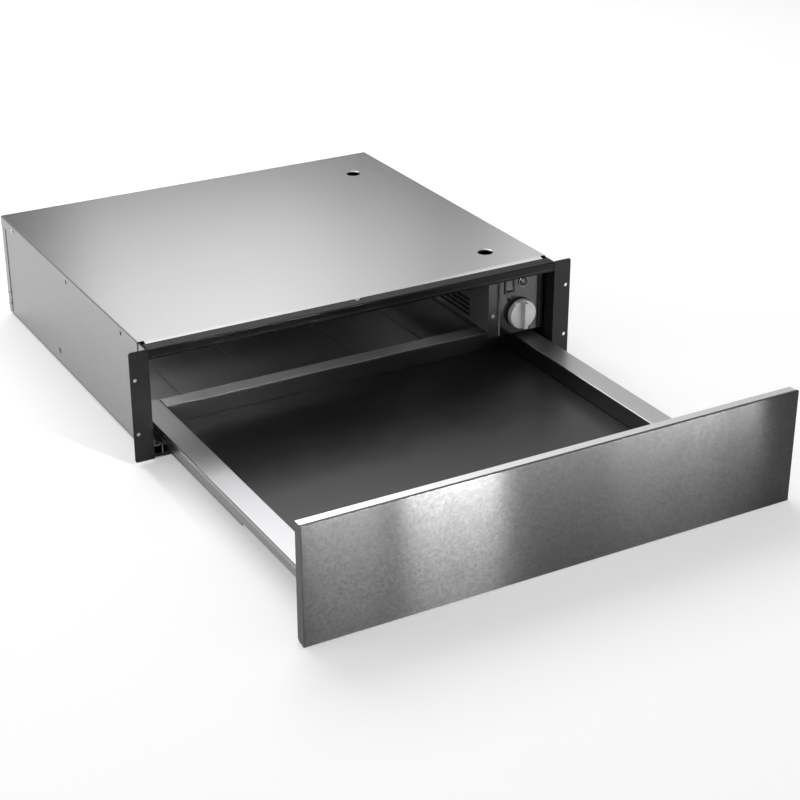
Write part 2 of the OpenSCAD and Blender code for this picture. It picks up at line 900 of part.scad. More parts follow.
module control_box() {
    color("darkgray")
    difference() {
        union() {
            along_y(box_front_y, box_back_y)
                fold([
                    [box_x + side_flange, box_top],
                    [box_x, box_top],
                    [box_x, box_base],
                    [box_right, box_base]
                ], box_sheet, box_sheet + bend_r);
            block([box_x, box_front_y, box_front_base], [box_right, box_inner_y, box_top]);
            for (i = [0 : louvre_count - 1])
                translate([0, 0, louvre_base + i * louvre_pitch - box_sheet])
                    along_y(louvre_y, louvre_y + louvre_len) louvre_blade();
        }
        for (i = [0 : louvre_count - 1])
            translate([0, 0, louvre_base + i * louvre_pitch])
                block([box_x - over, louvre_y, 0],
                      [box_x + box_sheet + louvre_bite, louvre_y + louvre_len, louvre_h]);
        // Air intake beside the blower wheel
        for (row = [0 : intake_rows - 1])
            for (col = [0 : intake_cols - 1 - row % 2])
                translate([0, blower_y + (col - (intake_cols - 1 - row % 2) / 2) * intake_pitch,
                           blower_z + (row - (intake_rows - 1) / 2) * intake_pitch])
                    bar_x(box_x - over, box_x + box_sheet + over, intake_r);
        translate([knob_x, 0, knob_z]) bar_y(box_front_y - over, box_inner_y + over, spindle_r + play);
        rocker_opening(box_front_y - over, box_inner_y + over);
        translate([lamp_x, 0, lamp_z]) bar_y(box_front_y - over, box_inner_y + over, lamp_body_r);
        translate([box_x + front_strip_w * strip_screw_share, 0, strip_screw_z])
            bar_y(box_front_y - over, box_inner_y + over, screw_r);
    }
}

// Cut-out for the rocker switch
module rocker_opening(y0, y1) {
    block([rocker_x - rocker_w / 2 + rocker_body_inset, y0, rocker_z - rocker_h / 2 + rocker_body_inset],
          [rocker_x + rocker_w / 2 - rocker_body_inset, y1, rocker_z + rocker_h / 2 - rocker_body_inset]);
}

module control_fascia() {
    color("dimgray")
    difference() {
        block([fascia_x, fascia_front_y, fascia_base],
              [fascia_x + fascia_w, box_front_y, fascia_base + fascia_h]);
        block([fascia_x + fascia_wall, fascia_front_y + fascia_wall, fascia_base + fascia_wall],
              [fascia_x + fascia_w - fascia_wall, box_front_y + over, fascia_base + fascia_h - fascia_wall]);
        translate([knob_x, 0, knob_z]) bar_y(fascia_front_y - over, box_front_y, spindle_r + play);
        rocker_opening(fascia_front_y - over, box_front_y);
        translate([lamp_x, 0, lamp_z]) bar_y(fascia_front_y - over, box_front_y, lamp_body_r);
    }
}

module rocker_housing() {
    color("black")
    difference() {
        union() {
            block([rocker_x - rocker_w / 2, fascia_front_y - bezel_t, rocker_z - rocker_h / 2],
                  [rocker_x + rocker_w / 2, fascia_front_y, rocker_z + rocker_h / 2]);
            rocker_opening(fascia_front_y - bezel_t, fascia_front_y + rocker_body_d);
        }
        block([rocker_x - rocker_w / 2 + rocker_body_inset + rocker_wall, fascia_front_y - bezel_t - over,
               rocker_z - rocker_h / 2 + rocker_body_inset + rocker_wall],
              [rocker_x + rocker_w / 2 - rocker_body_inset - rocker_wall, fascia_front_y + rocker_well_d,
               rocker_z + rocker_h / 2 - rocker_body_inset - rocker_wall]);
        translate([0, rocker_hub_y, rocker_z])
            bar_x(rocker_x - rocker_w / 2 + rocker_body_inset + play,
                  rocker_x + rocker_w / 2 - rocker_body_inset - play,
                  rocker_pin_r + spindle_gap);
    }
}

// Side view of the rocker: two flats that meet over the pivot
module rocker_side() {
    tip = rocker_h / 2 - rocker_body_inset - rocker_wall - rocker_gap;
    intersection() {
        circle(r = tip);
        polygon([
            [-tip * rocker_face_share, 0],
            [-tip * (rocker_face_share + tan((rocker_travel + rocker_vee) / 2)), -tip],
            [tip * rocker_back_share, -tip],
            [tip * rocker_back_share, tip],
            [-tip * (rocker_face_share - tan((rocker_travel - rocker_vee) / 2)), tip]
        ]);
    }
}

module rocker() {
    color("silver") {
        translate([0, rocker_hub_y, rocker_z])
            along_x(rocker_x - rocker_face_w / 2, rocker_x + rocker_face_w / 2)
                rocker_side();
        translate([0, rocker_hub_y, rocker_z])
            bar_x(rocker_x - rocker_w / 2 + rocker_body_inset + 2 * play,
                  rocker_x + rocker_w / 2 - rocker_body_inset - 2 * play, rocker_pin_r);
    }
}

module indicator_ring() {
    color("silver")
    translate([lamp_x, 0, lamp_z])
        difference() {
            union() {
                bar_y(fascia_front_y - lamp_ring_t, fascia_front_y, lamp_ring_r);
                bar_y(fascia_front_y, fascia_front_y + lamp_body_d, lamp_body_r);
            }
            bar_y(fascia_front_y - lamp_ring_t - over, fascia_front_y - lamp_seat, lamp_ring_r - lamp_ring_w);
        }
}

module indicator_lens() {
    color("dimgray")
    translate([lamp_x, fascia_front_y - lamp_seat, lamp_z])
        rotate([90, 0, 0])
            intersection() {
                cylinder(h = lamp_ring_t + lamp_dome, r = lamp_ring_r - lamp_ring_w);
                translate([0, 0, lamp_ring_t + lamp_dome - lens_curve_r]) sphere(r = lens_curve_r);
            }
}

module knob_collar() {
    color("gray")
    translate([knob_x, 0, knob_z])
        difference() {
            translate([0, fascia_front_y, 0])
                rotate([90, 0, 0])
                    cylinder(h = collar_t - play, r1 = collar_r, r2 = collar_r - collar_bevel);
            bar_y(knob_disc_y, fascia_front_y + over, collar_bore);
        }
}

module knob() {
    color("silver")
    translate([knob_x, 0, knob_z])
        rotate([90, 0, 0])
            difference() {
                union() {
                    // Disc with a bevelled rim
                    translate([0, 0, -knob_disc_y])
                        rotate_extrude()
                            polygon([
                                [0, 0],
                                [knob_skirt_r - knob_edge, 0],
                                [knob_skirt_r, knob_edge],
                                [knob_d / 2, knob_disc_h - knob_edge],
                                [knob_d / 2 - knob_edge, knob_disc_h],
                                [0, knob_disc_h]
                            ]);
                    // Grip bar across the face
                    intersection() {
                        translate([-knob_grip_w / 2, -knob_d / 2, -knob_face_y])
                            cube([knob_grip_w, knob_d, knob_grip_h]);
                        translate([0, 0, -knob_face_y - over])
                            cylinder(h = knob_grip_h + 2 * over, r = knob_d / 2 - grip_overhang);
                    }
                    // Pointer on the rim
                    rotate([0, 0, -pointer_angle])
                        translate([0, 0, -knob_disc_y])
                            linear_extrude(height = pointer_t)
                                polygon([
                                    [-pointer_w / 2, knob_skirt_r - pointer_t],
                                    [pointer_w / 2, knob_skirt_r - pointer_t],
                                    [0, knob_skirt_r + pointer_len]
                                ]);
                }
                translate([0, 0, -knob_disc_y - over])
                    cylinder(h = knob_disc_h + over, r = spindle_r);
            }
}

module knob_spindle() {
    color("silver")
    translate([knob_x, 0, knob_z])
        bar_y(knob_face_y, box_inner_y + spindle_in, spindle_r);
}

module thermostat() {
    color("ivory")
    difference() {
        block([knob_x - thermostat_w / 2, box_inner_y, knob_z - thermostat_h * thermostat_low_share],
              [knob_x + thermostat_w / 2, box_inner_y + thermostat_d,
               knob_z + thermostat_h * (1 - thermostat_low_share)]);
        translate([knob_x, 0, knob_z])
            bar_y(box_inner_y - over, box_inner_y + spindle_in + play, spindle_r + spindle_gap);
    }
}

// Three straight runs joined by two round bends, with a pin at each end
module heating_element() {
    color("dimgray")
    translate([heater_x, 0, heater_z0]) {
        for (run = [0 : 2])
            translate([0, 0, run * heater_pitch]) bar_y(heater_back_y - heater_run, heater_back_y, heater_r);
        translate([0, heater_back_y - heater_run, heater_pitch / 2]) heater_bend(-1);
        translate([0, heater_back_y, heater_pitch * 3 / 2]) heater_bend(1);
        bar_y(heater_back_y, heater_back_y + heater_pin_len, heater_pin_r);
        translate([0, 0, 2 * heater_pitch])
            bar_y(heater_back_y - heater_run - heater_pin_len, heater_back_y - heater_run, heater_pin_r);
    }
}

// Half ring in the (y, z) plane, open towards -end
module heater_bend(end) {
    rotate([0, 90, 0])
        rotate([0, 0, end > 0 ? 0 : 180])
            rotate_extrude(angle = 180) translate([heater_pitch / 2, 0]) circle(r = heater_r);
}

// Plate on the box floor that carries the heating element
module heater_plate() {
    plate_y = heater_back_y - heater_run * heater_plate_share;
    color("silver")
    difference() {
        union() {
            block([heater_x - heater_plate_w / 2, plate_y, box_base + box_sheet],
                  [heater_x + heater_plate_w / 2, plate_y + heater_plate_t,
                   heater_z0 + 2 * heater_pitch + heater_r + 2 * heater_plate_t]);
            block([heater_x - heater_plate_w / 2, plate_y, box_base + box_sheet],
                  [heater_x + heater_plate_w / 2, plate_y + heater_foot,
                   box_base + box_sheet + heater_plate_t]);
        }
        for (run = [0 : 2])
            translate([heater_x, 0, heater_z0 + run * heater_pitch])
                bar_y(plate_y - over, plate_y + heater_plate_t + over, heater_r + heater_fit);
    }
}

// Outline of the blower housing, seen along x
module scroll_outline(r, y_out, drop) {
    translate([blower_y, blower_z]) circle(r = r);
    translate([y_out, blower_z - r + drop]) square([blower_y - y_out, outlet_h]);
}

module blower_housing() {
    color("gainsboro")
    difference() {
        along_x(blower_x0, blower_x0 + blower_len) scroll_outline(scroll_r, outlet_y, 0);
        along_x(blower_x0 + blower_wall, blower_x0 + blower_len - blower_wall) {
            translate([blower_y, blower_z]) circle(r = scroll_r - blower_wall);
            translate([outlet_y - over, blower_z - scroll_r + blower_wall])
                square([blower_y - outlet_y + over, outlet_h - 2 * blower_wall]);
        }
        translate([0, blower_y, blower_z]) {
            bar_x(blower_x0 - over, blower_x0 + blower_wall + over, inlet_r);
            bar_x(blower_x0 + blower_len - blower_wall - over, blower_x0 + blower_len + over, shaft_r + play);
        }
    }
}

module blower_wheel() {
    color("lightsteelblue")
    translate([0, blower_y, blower_z]) {
        bar_x(wheel_x0 + wheel_w - wheel_ring_t, wheel_x0 + wheel_w, wheel_r);
        bar_x(wheel_x0 + wheel_w / 2, wheel_x0 + wheel_w - wheel_ring_t / 2, hub_r);
        difference() {
            bar_x(wheel_x0, wheel_x0 + wheel_ring_t, wheel_r);
            bar_x(wheel_x0 - over, wheel_x0 + wheel_ring_t + over, wheel_r - blade_depth);
        }
        for (i = [0 : wheel_blades - 1])
            rotate([i * 360 / wheel_blades, 0, 0])
                translate([wheel_x0 + wheel_ring_t / 2, 0, wheel_r - blade_depth + blade_root])
                    rotate([blade_lean, 0, 0])
                        cube([wheel_w - wheel_ring_t, blade_t, blade_depth - 2 * blade_t]);
        // Shaft that runs in the motor
        bar_x(wheel_x0 + wheel_w - wheel_ring_t / 2, blower_x0 + blower_len + motor_len / 2, shaft_r);
    }
}

module blower_motor() {
    motor_x0 = blower_x0 + blower_len;
    color("gray")
    translate([0, blower_y, blower_z])
        difference() {
            union() {
                bar_x(motor_x0, motor_x0 + motor_len - motor_cap_t, motor_r);
                bar_x(motor_x0 + motor_len - motor_cap_t, motor_x0 + motor_len, motor_r * motor_cap_share);
            }
            bar_x(motor_x0 - over, motor_x0 + motor_len / 2 + play, shaft_r + shaft_gap);
        }
}

module terminal_block() {
    color("ivory")
    difference() {
        block([gland_x - terminal_w / 2, terminal_y, box_base + box_sheet],
              [gland_x + terminal_w / 2, terminal_y + terminal_d, box_base + box_sheet + terminal_h]);
        for (way = [0 : terminal_ways - 1])
            translate([gland_x + (way - (terminal_ways - 1) / 2) * terminal_w / terminal_ways, 0, 0]) {
                translate([0, terminal_y + terminal_d / 2, box_base + box_sheet + terminal_h / 2])
                    cylinder(h = terminal_h, r = terminal_hole_r);
                translate([0, 0, box_base + box_sheet + terminal_h / 4])
                    bar_y(terminal_y + terminal_d / 2, terminal_y + terminal_d + over, terminal_hole_r);
            }
    }
}

// Gland in the rear panel for the mains lead
module cord_gland() {
    color("black")
    translate([gland_x, 0, gland_z])
        difference() {
            union() {
                bar_y(rear_y - gland_body_len, rear_y, gland_body_r);
                bar_y(rear_y - gland_flange_t, rear_y, gland_flange_r);
                bar_y(back_wall_y - gland_nut_t, back_wall_y, gland_flange_r);
            }
            bar_y(rear_y - gland_body_len - over, rear_y + over, gland_bore_r);
            // The panel sits between flange and nut
            difference() {
                bar_y(back_wall_y, rear_y, gland_flange_r + over);
                bar_y(back_wall_y - over, rear_y + over, gland_body_r);
            }
        }
}

// Cut-outs along a track that leave room for one row of balls on each side
module ball_grooves(ball_z) {
    for (row = [-1, 1])
        translate([rail_x + row * ball_x, ball_z]) circle(r = ball_run_r);
}

// Section of the cabinet member: wall leg with rolled hook, foot and open track
module cabinet_rail_section() {
    fold([
        [rail_x + rail_w / 2 - rail_t / 2, rail_seat_z],
        [wall_x, rail_seat_z],
        [wall_x, rail_seat_z + hook_rise],
        [wall_x - hook_w, rail_seat_z + hook_rise],
        [wall_x - hook_w, rail_seat_z + hook_rise - hook_drop],
        [wall_x - hook_w - hook_reach, rail_seat_z + hook_rise - hook_drop],
        [wall_x - hook_w - hook_reach, rail_seat_z + hook_rise - hook_drop + hook_end]
    ], rail_t, hook_bend);
    difference() {
        track_section(cabinet_track_h);
        ball_grooves(lower_ball_z);
    }
}

// Track that opens upwards, with inward lips
module track_section(h) {
    low = rail_seat_z;
    difference() {
        translate([rail_x - rail_w / 2, low]) square([rail_w, h]);
        translate([rail_x - track_in, low + rail_t]) square([2 * track_in, h - 2 * rail_t]);
        translate([rail_x - track_in + track_lip, low + rail_t]) square([2 * (track_in - track_lip), h]);
    }
}

module cabinet_rail(side) {
    color("darkgray")
    on_side(side)
        difference() {
            along_y(rail_center_y - rail_len / 2, rail_center_y + rail_len / 2) cabinet_rail_section();
            for (share = rail_screw_shares)
                translate([0, rail_center_y + share * rail_len, rail_screw_z])
                    bar_x(wall_x - rail_t - over, wall_x + over, screw_r);
        }
}

// Two channels back to back, with a groove for each row of balls
module mid_rail(side) {
    center_y = rail_center_y - mid_share * drawer_open;
    color("silver")
    on_side(side)
        along_y(center_y - rail_len / 2, center_y + rail_len / 2)
            difference() {
                translate([rail_x - mid_w / 2, mid_low_z]) square([mid_w, mid_high_z - mid_low_z]);
                translate([rail_x - mid_w / 2 + rail_t, mid_low_z - over])
                    square([mid_w - 2 * rail_t, mid_web_z - rail_t - mid_low_z + over]);
                translate([rail_x - mid_w / 2 + rail_t, mid_web_z + rail_t])
                    square([mid_w - 2 * rail_t, mid_high_z - mid_web_z - rail_t + over]);
                ball_grooves(lower_ball_z);
                ball_grooves(upper_ball_z);
            }
}

module drawer_rail(side) {
    center_y = rail_center_y - drawer_open;
    color("darkgray")
    on_side(side)
        along_y(center_y - rail_len / 2, center_y + rail_len / 2)
            difference() {
                translate([0, rail_seat_z + drawer_top - drawer_sheet])
                    mirror([0, 1])
                        track_section(drawer_track_h);
                ball_grooves(upper_ball_z);
            }
}

// Cage strip with its balls; open side up for stage 1, down for stage -1
module ball_cage(side, share, ball_z, stage) {
    center_y = rail_center_y - share * drawer_open;
    foot_z = ball_z - stage * (ball_r + cage_foot);
    rim_z = ball_z + stage * cage_rim;
    on_side(side) {
        color("goldenrod")
        difference() {
            along_y(center_y - cage_len / 2, center_y + cage_len / 2)
                difference() {
                    translate([rail_x - cage_half, min(foot_z, rim_z)])
                        square([2 * cage_half, abs(rim_z - foot_z)]);
                    translate([rail_x - cage_half + cage_t,
                               min(foot_z + stage * cage_t, rim_z + stage * over)])
                        square([2 * (cage_half - cage_t), abs(rim_z - foot_z) + over - cage_t]);
                }
            for (i = [0 : balls_in_row - 1])
                translate([0, center_y + (i - (balls_in_row - 1) / 2) * ball_pitch, ball_z])
                    bar_x(rail_x - cage_half - over, rail_x + cage_half + over, cage_hole_r);
        }
        color("silver")
        for (i = [0 : balls_in_row - 1])
            for (row = [-1, 1])
                translate([rail_x + row * ball_x,
                           center_y + (i - (balls_in_row - 1) / 2) * ball_pitch, ball_z])
                    sphere(r = ball_r);
    }
}

module push_latch_body() {
    color("dimgray")
    difference() {
        block([-latch_w / 2, latch_y0, sheet], [latch_w / 2, latch_back_y, sheet + latch_h]);
        block([-plunger_w / 2 - play, latch_y0 - over, plunger_base - play],
              [plunger_w / 2 + play, latch_y0 + plunger_len - plunger_out + plunger_travel + play,
               plunger_base + plunger_t + play]);
        for (side = [-1, 1])
            on_side(side)
                translate([latch_w / 2 - latch_ear, latch_y0 + latch_ear, sheet + latch_h - latch_step])
                    cube([latch_ear + over, latch_len, latch_step + over]);
    }
}

module push_latch_plunger() {
    color("white")
    difference() {
        block([-plunger_w / 2, plunger_tip_y, plunger_base],
              [plunger_w / 2, plunger_tip_y + plunger_len, plunger_base + plunger_t]);
        // The tip has bevelled corners
        for (side = [-1, 1])
            on_side(side)
                translate([plunger_w / 2, plunger_tip_y, plunger_base - over])
                    rotate([0, 0, 45])
                        translate([-plunger_t / 2, -plunger_t / 2, 0])
                            cube([plunger_t, plunger_t, plunger_t + 2 * over]);
    }
}

// Striker under the drawer that meets the plunger when the drawer closes
module latch_striker() {
    striker_y1 = plunger_tip_y - strike_gap - drawer_open;
    color("gray")
    block([-striker_w / 2, striker_y1 - striker_t, striker_foot],
          [striker_w / 2, striker_y1, drawer_floor]);
}

module drawer_floor_pan() {
    color("silver")
    block([-inner_x + drawer_bend, panel_back_y, drawer_floor],
          [inner_x - drawer_bend, inner_back_y - drawer_bend, drawer_floor + drawer_sheet]);
}

module drawer_side(side) {
    color("gainsboro")
    on_side(side)
        along_y(panel_back_y, drawer_back_y)
            fold([
                [drawer_x, drawer_top - drawer_lip],
                [drawer_x, drawer_top],
                [inner_x, drawer_top],
                [inner_x, drawer_floor],
                [inner_x - floor_seat, drawer_floor]
            ], drawer_sheet, drawer_bend);
}

module back_profile() {
    color("gainsboro")
    along_x(-inner_x + floor_seat + play, inner_x - floor_seat - play)
        fold([
            [drawer_back_y, drawer_floor - drawer_sheet],
            [drawer_back_y, drawer_top],
            [inner_back_y, drawer_top],
            [inner_back_y, drawer_floor],
            [inner_back_y - floor_seat, drawer_floor]
        ], drawer_sheet, drawer_bend);
    color("gainsboro")
    for (side = [-1, 1])
        on_side(side)
            along_x(inner_x - floor_seat - play, inner_x - play)
                fold([
                    [drawer_back_y, drawer_floor + play],
                    [drawer_back_y, drawer_top],
                    [inner_back_y, drawer_top],
                    [inner_back_y, drawer_floor + play]
                ], drawer_sheet, drawer_bend);
}

module drawer_mat() {
    color("darkslategray")
    block([-inner_x + 2 * play, panel_back_y + play, mat_base],
          [inner_x - 2 * play, inner_back_y - 2 * play, mat_base + mat_t]);
}

// Side view of the carrier pan
module carrier_side(inset, y0, y1) {
    low = panel_base + inset;
    high = panel_top - inset;
    polygon([
        [y0, low],
        [y1 - carrier_chamfer, low],
        [y1, low + carrier_chamfer],
        [y1, high],
        [y0, high]
    ]);
}

module front_carrier() {
    skin_back = panel_front_y + skin_t;
    gap_y = panel_front_y + skin_return + shadow_gap;
    half = panel_w / 2 - carrier_inset;
    neck = panel_w / 2 - skin_t - play;
    color("dimgray")
    difference() {
        union() {
            along_x(-half, half) carrier_side(carrier_inset, gap_y, panel_back_y);
            block([-neck, skin_back, panel_base + skin_t + play], [neck, gap_y, panel_top - skin_t - play]);
        }
        block([-neck + carrier_wall, skin_back - over, panel_base + skin_t + play + carrier_wall],
              [neck - carrier_wall, gap_y, panel_top - skin_t - play - carrier_wall]);
        along_x(-neck + carrier_wall, neck - carrier_wall)
            carrier_side(skin_t + play + carrier_wall, gap_y - over, panel_back_y - carrier_wall);
        for (side = [-1, 1])
            on_side(side)
                for (z = panel_screw_zs)
                    translate([panel_screw_x, 0, z])
                        bar_y(panel_back_y - carrier_wall - over, panel_back_y + over, panel_screw_r);
    }
}

module front_skin() {
    color("lightgray")
    difference() {
        block([-panel_w / 2, panel_front_y, panel_base],
              [panel_w / 2, panel_front_y + skin_return, panel_top]);
        block([-panel_w / 2 + skin_t, panel_front_y + skin_t, panel_base + skin_t],
              [panel_w / 2 - skin_t, panel_front_y + skin_return + over, panel_top - skin_t]);
    }
}

// Angle that ties the drawer side to the carrier
module fixing_bracket(side) {
    color("gray")
    on_side(side)
        difference() {
            union() {
                block([inner_x + drawer_sheet, panel_back_y, fix_base],
                      [inner_x + drawer_sheet + fix_w, panel_back_y + fix_t, fix_base + fix_rise]);
                block([inner_x + drawer_sheet, panel_back_y, fix_base],
                      [inner_x + drawer_sheet + fix_t, panel_back_y + fix_leg, fix_base + fix_rise]);
            }
            for (z = panel_screw_zs)
                translate([panel_screw_x, 0, z])
                    bar_y(panel_back_y - over, panel_back_y + fix_t + over, panel_screw_r);
        }
}

module panel_screws() {
    color("lightgray")
    for (side = [-1, 1])
        on_side(side)
            for (z = panel_screw_zs)
                translate([panel_screw_x, panel_back_y + fix_t, z])
                    rotate([-90, 0, 0])
                        screw(panel_screw_head_r, panel_screw_head_h, panel_screw_r, fix_t + carrier_wall);
}

// Soft stops on the back of the carrier
module panel_bumpers() {
    color("black")
    for (side = [-1, 1])
        on_side(side)
            for (z = [panel_base + bumper_inset, panel_top - bumper_inset])
                translate([(wall_x + bracket_span / 2) / 2, panel_back_y, z])
                    rotate([-90, 0, 0])
                        cylinder(h = bumper_t, r1 = bumper_r, r2 = bumper_r - bumper_t / 2);
}

bottom_panel();
side_panel(-1);  // left_side_panel
side_panel(1);  // right_side_panel
rear_panel();
top_cover();
ceiling_liner();
insulation_mat();
front_top_rail();
rail_seal();
mounting_bracket(-1);  // left_mounting_bracket
mounting_bracket(1);  // right_mounting_bracket
casing_screws();
control_box();
control_fascia();
rocker_housing();
rocker();
indicator_ring();
indicator_lens();
knob_collar();
knob();
knob_spindle();
thermostat();
heating_element();
heater_plate();
blower_housing();
blower_wheel();
blower_motor();
terminal_block();
cord_gland();
cabinet_rail(-1);  // left_cabinet_rail
cabinet_rail(1);  // right_cabinet_rail
mid_rail(-1);  // left_mid_rail
mid_rail(1);  // right_mid_rail
drawer_rail(-1);  // left_drawer_rail
drawer_rail(1);  // right_drawer_rail
ball_cage(-1, outer_cage_share, lower_ball_z, 1);  // left_outer_ball_cage
ball_cage(1, outer_cage_share, lower_ball_z, 1);  // right_outer_ball_cage
ball_cage(-1, inner_cage_share, upper_ball_z, -1);  // left_inner_ball_cage
ball_cage(1, inner_cage_share, upper_ball_z, -1);  // right_inner_ball_cage
push_latch_body();
push_latch_plunger();
latch_striker();
drawer_floor_pan();
drawer_side(-1);  // left_drawer_side
drawer_side(1);  // right_drawer_side
back_profile();
drawer_mat();
front_carrier();
front_skin();
fixing_bracket(-1);  // left_fixing_bracket
fixing_bracket(1);  // right_fixing_bracket
panel_screws();
panel_bumpers();
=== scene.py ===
"""Looks, lights and camera for a built-in warming drawer that stands pulled out of its casing."""

import json
import logging
import math
from dataclasses import dataclass, field
from enum import Enum

import bmesh
import bpy
from mathutils import Matrix, Vector

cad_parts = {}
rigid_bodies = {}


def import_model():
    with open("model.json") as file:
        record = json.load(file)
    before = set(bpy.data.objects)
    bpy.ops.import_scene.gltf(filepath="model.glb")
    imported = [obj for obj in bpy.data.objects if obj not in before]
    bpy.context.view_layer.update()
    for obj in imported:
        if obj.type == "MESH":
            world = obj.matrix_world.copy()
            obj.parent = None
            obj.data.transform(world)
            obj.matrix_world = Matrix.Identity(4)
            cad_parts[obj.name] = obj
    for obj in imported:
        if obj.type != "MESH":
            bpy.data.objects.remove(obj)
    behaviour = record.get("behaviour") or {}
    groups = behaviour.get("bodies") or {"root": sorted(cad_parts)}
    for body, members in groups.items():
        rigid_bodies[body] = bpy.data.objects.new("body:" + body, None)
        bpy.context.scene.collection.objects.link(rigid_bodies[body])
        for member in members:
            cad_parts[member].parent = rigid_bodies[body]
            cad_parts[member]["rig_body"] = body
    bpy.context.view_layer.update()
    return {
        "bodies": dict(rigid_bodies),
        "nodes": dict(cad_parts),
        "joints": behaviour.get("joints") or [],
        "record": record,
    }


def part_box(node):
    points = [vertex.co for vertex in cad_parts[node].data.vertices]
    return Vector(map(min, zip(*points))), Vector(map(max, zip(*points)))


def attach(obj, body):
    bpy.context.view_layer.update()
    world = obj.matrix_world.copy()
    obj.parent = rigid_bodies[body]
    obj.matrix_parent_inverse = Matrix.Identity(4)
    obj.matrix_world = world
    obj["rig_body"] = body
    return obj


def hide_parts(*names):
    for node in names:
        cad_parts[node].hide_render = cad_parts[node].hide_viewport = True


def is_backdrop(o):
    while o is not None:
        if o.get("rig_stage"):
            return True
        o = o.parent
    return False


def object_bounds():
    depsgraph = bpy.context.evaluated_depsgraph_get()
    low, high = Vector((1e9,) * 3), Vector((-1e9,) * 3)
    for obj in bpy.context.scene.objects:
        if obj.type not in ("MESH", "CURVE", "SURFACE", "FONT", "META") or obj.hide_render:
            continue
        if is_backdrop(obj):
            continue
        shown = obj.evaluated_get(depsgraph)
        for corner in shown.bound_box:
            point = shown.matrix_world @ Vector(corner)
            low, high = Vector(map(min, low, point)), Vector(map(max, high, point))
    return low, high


LOG = logging.getLogger("warming_drawer")
MM = 0.001
WHITE = (1.0, 1.0, 1.0, 1.0)

Mesh = bmesh.types.BMesh
Socket = bpy.types.NodeSocket
Tree = bpy.types.NodeTree
Colour = tuple[float, float, float]
Span = tuple[float, float]
Levels = tuple[Span, ...]

FULL: Span = (0.0, 1.0)
# Most of a noise pattern's values lie between these two.
MIDDLE: Span = (0.3, 0.7)
# Added to the grain, so that no face looks exactly along it and the sheen has a way to run everywhere.
OFF_GRAIN = Vector((0.002, 0.003, 0.001))
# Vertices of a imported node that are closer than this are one, and so are those of a turned outline.
WELD = 0.004 * MM
TURNED_WELD = 0.002 * MM
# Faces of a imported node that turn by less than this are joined.
FLAT_TURN = math.radians(0.6)
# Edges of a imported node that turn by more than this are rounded.
SHARP_TURN = math.radians(38.0)
# A face looks one way where the cosine of the angle to that way is above this.
FACED_COSINE = 0.9

UPWARD = Vector((0.0, 0.0, 1.0))
LEFTWARD = Vector((-1.0, 0.0, 0.0))
# Takes in the back profile's inner face, which looks to the front, and the rounding above it, which get the
# mat's dark rubber as painted shade.
PROFILE_SHADE_WAY = Vector((0.0, -0.91, 0.41))


class Axis(Enum):
    """A direction of the row frame."""

    X = (1.0, 0.0, 0.0)
    Y = (0.0, 1.0, 0.0)
    Z = (0.0, 0.0, 1.0)

    def stretch(self, along: float, across: float) -> Vector:
        """Scale of a pattern that runs along this direction.

        Args:
            along: Repeats per metre along the direction.
            across: Repeats per metre across it.

        Returns:
            The three scale factors.
        """
        return Vector(along if part else across for part in self.value)


class Side(Enum):
    """A side of the drawer."""

    LEFT = "left"
    RIGHT = "right"


class Stage(Enum):
    """One of a runner's two ball cages."""

    OUTER = "outer"
    INNER = "inner"


# Finishes


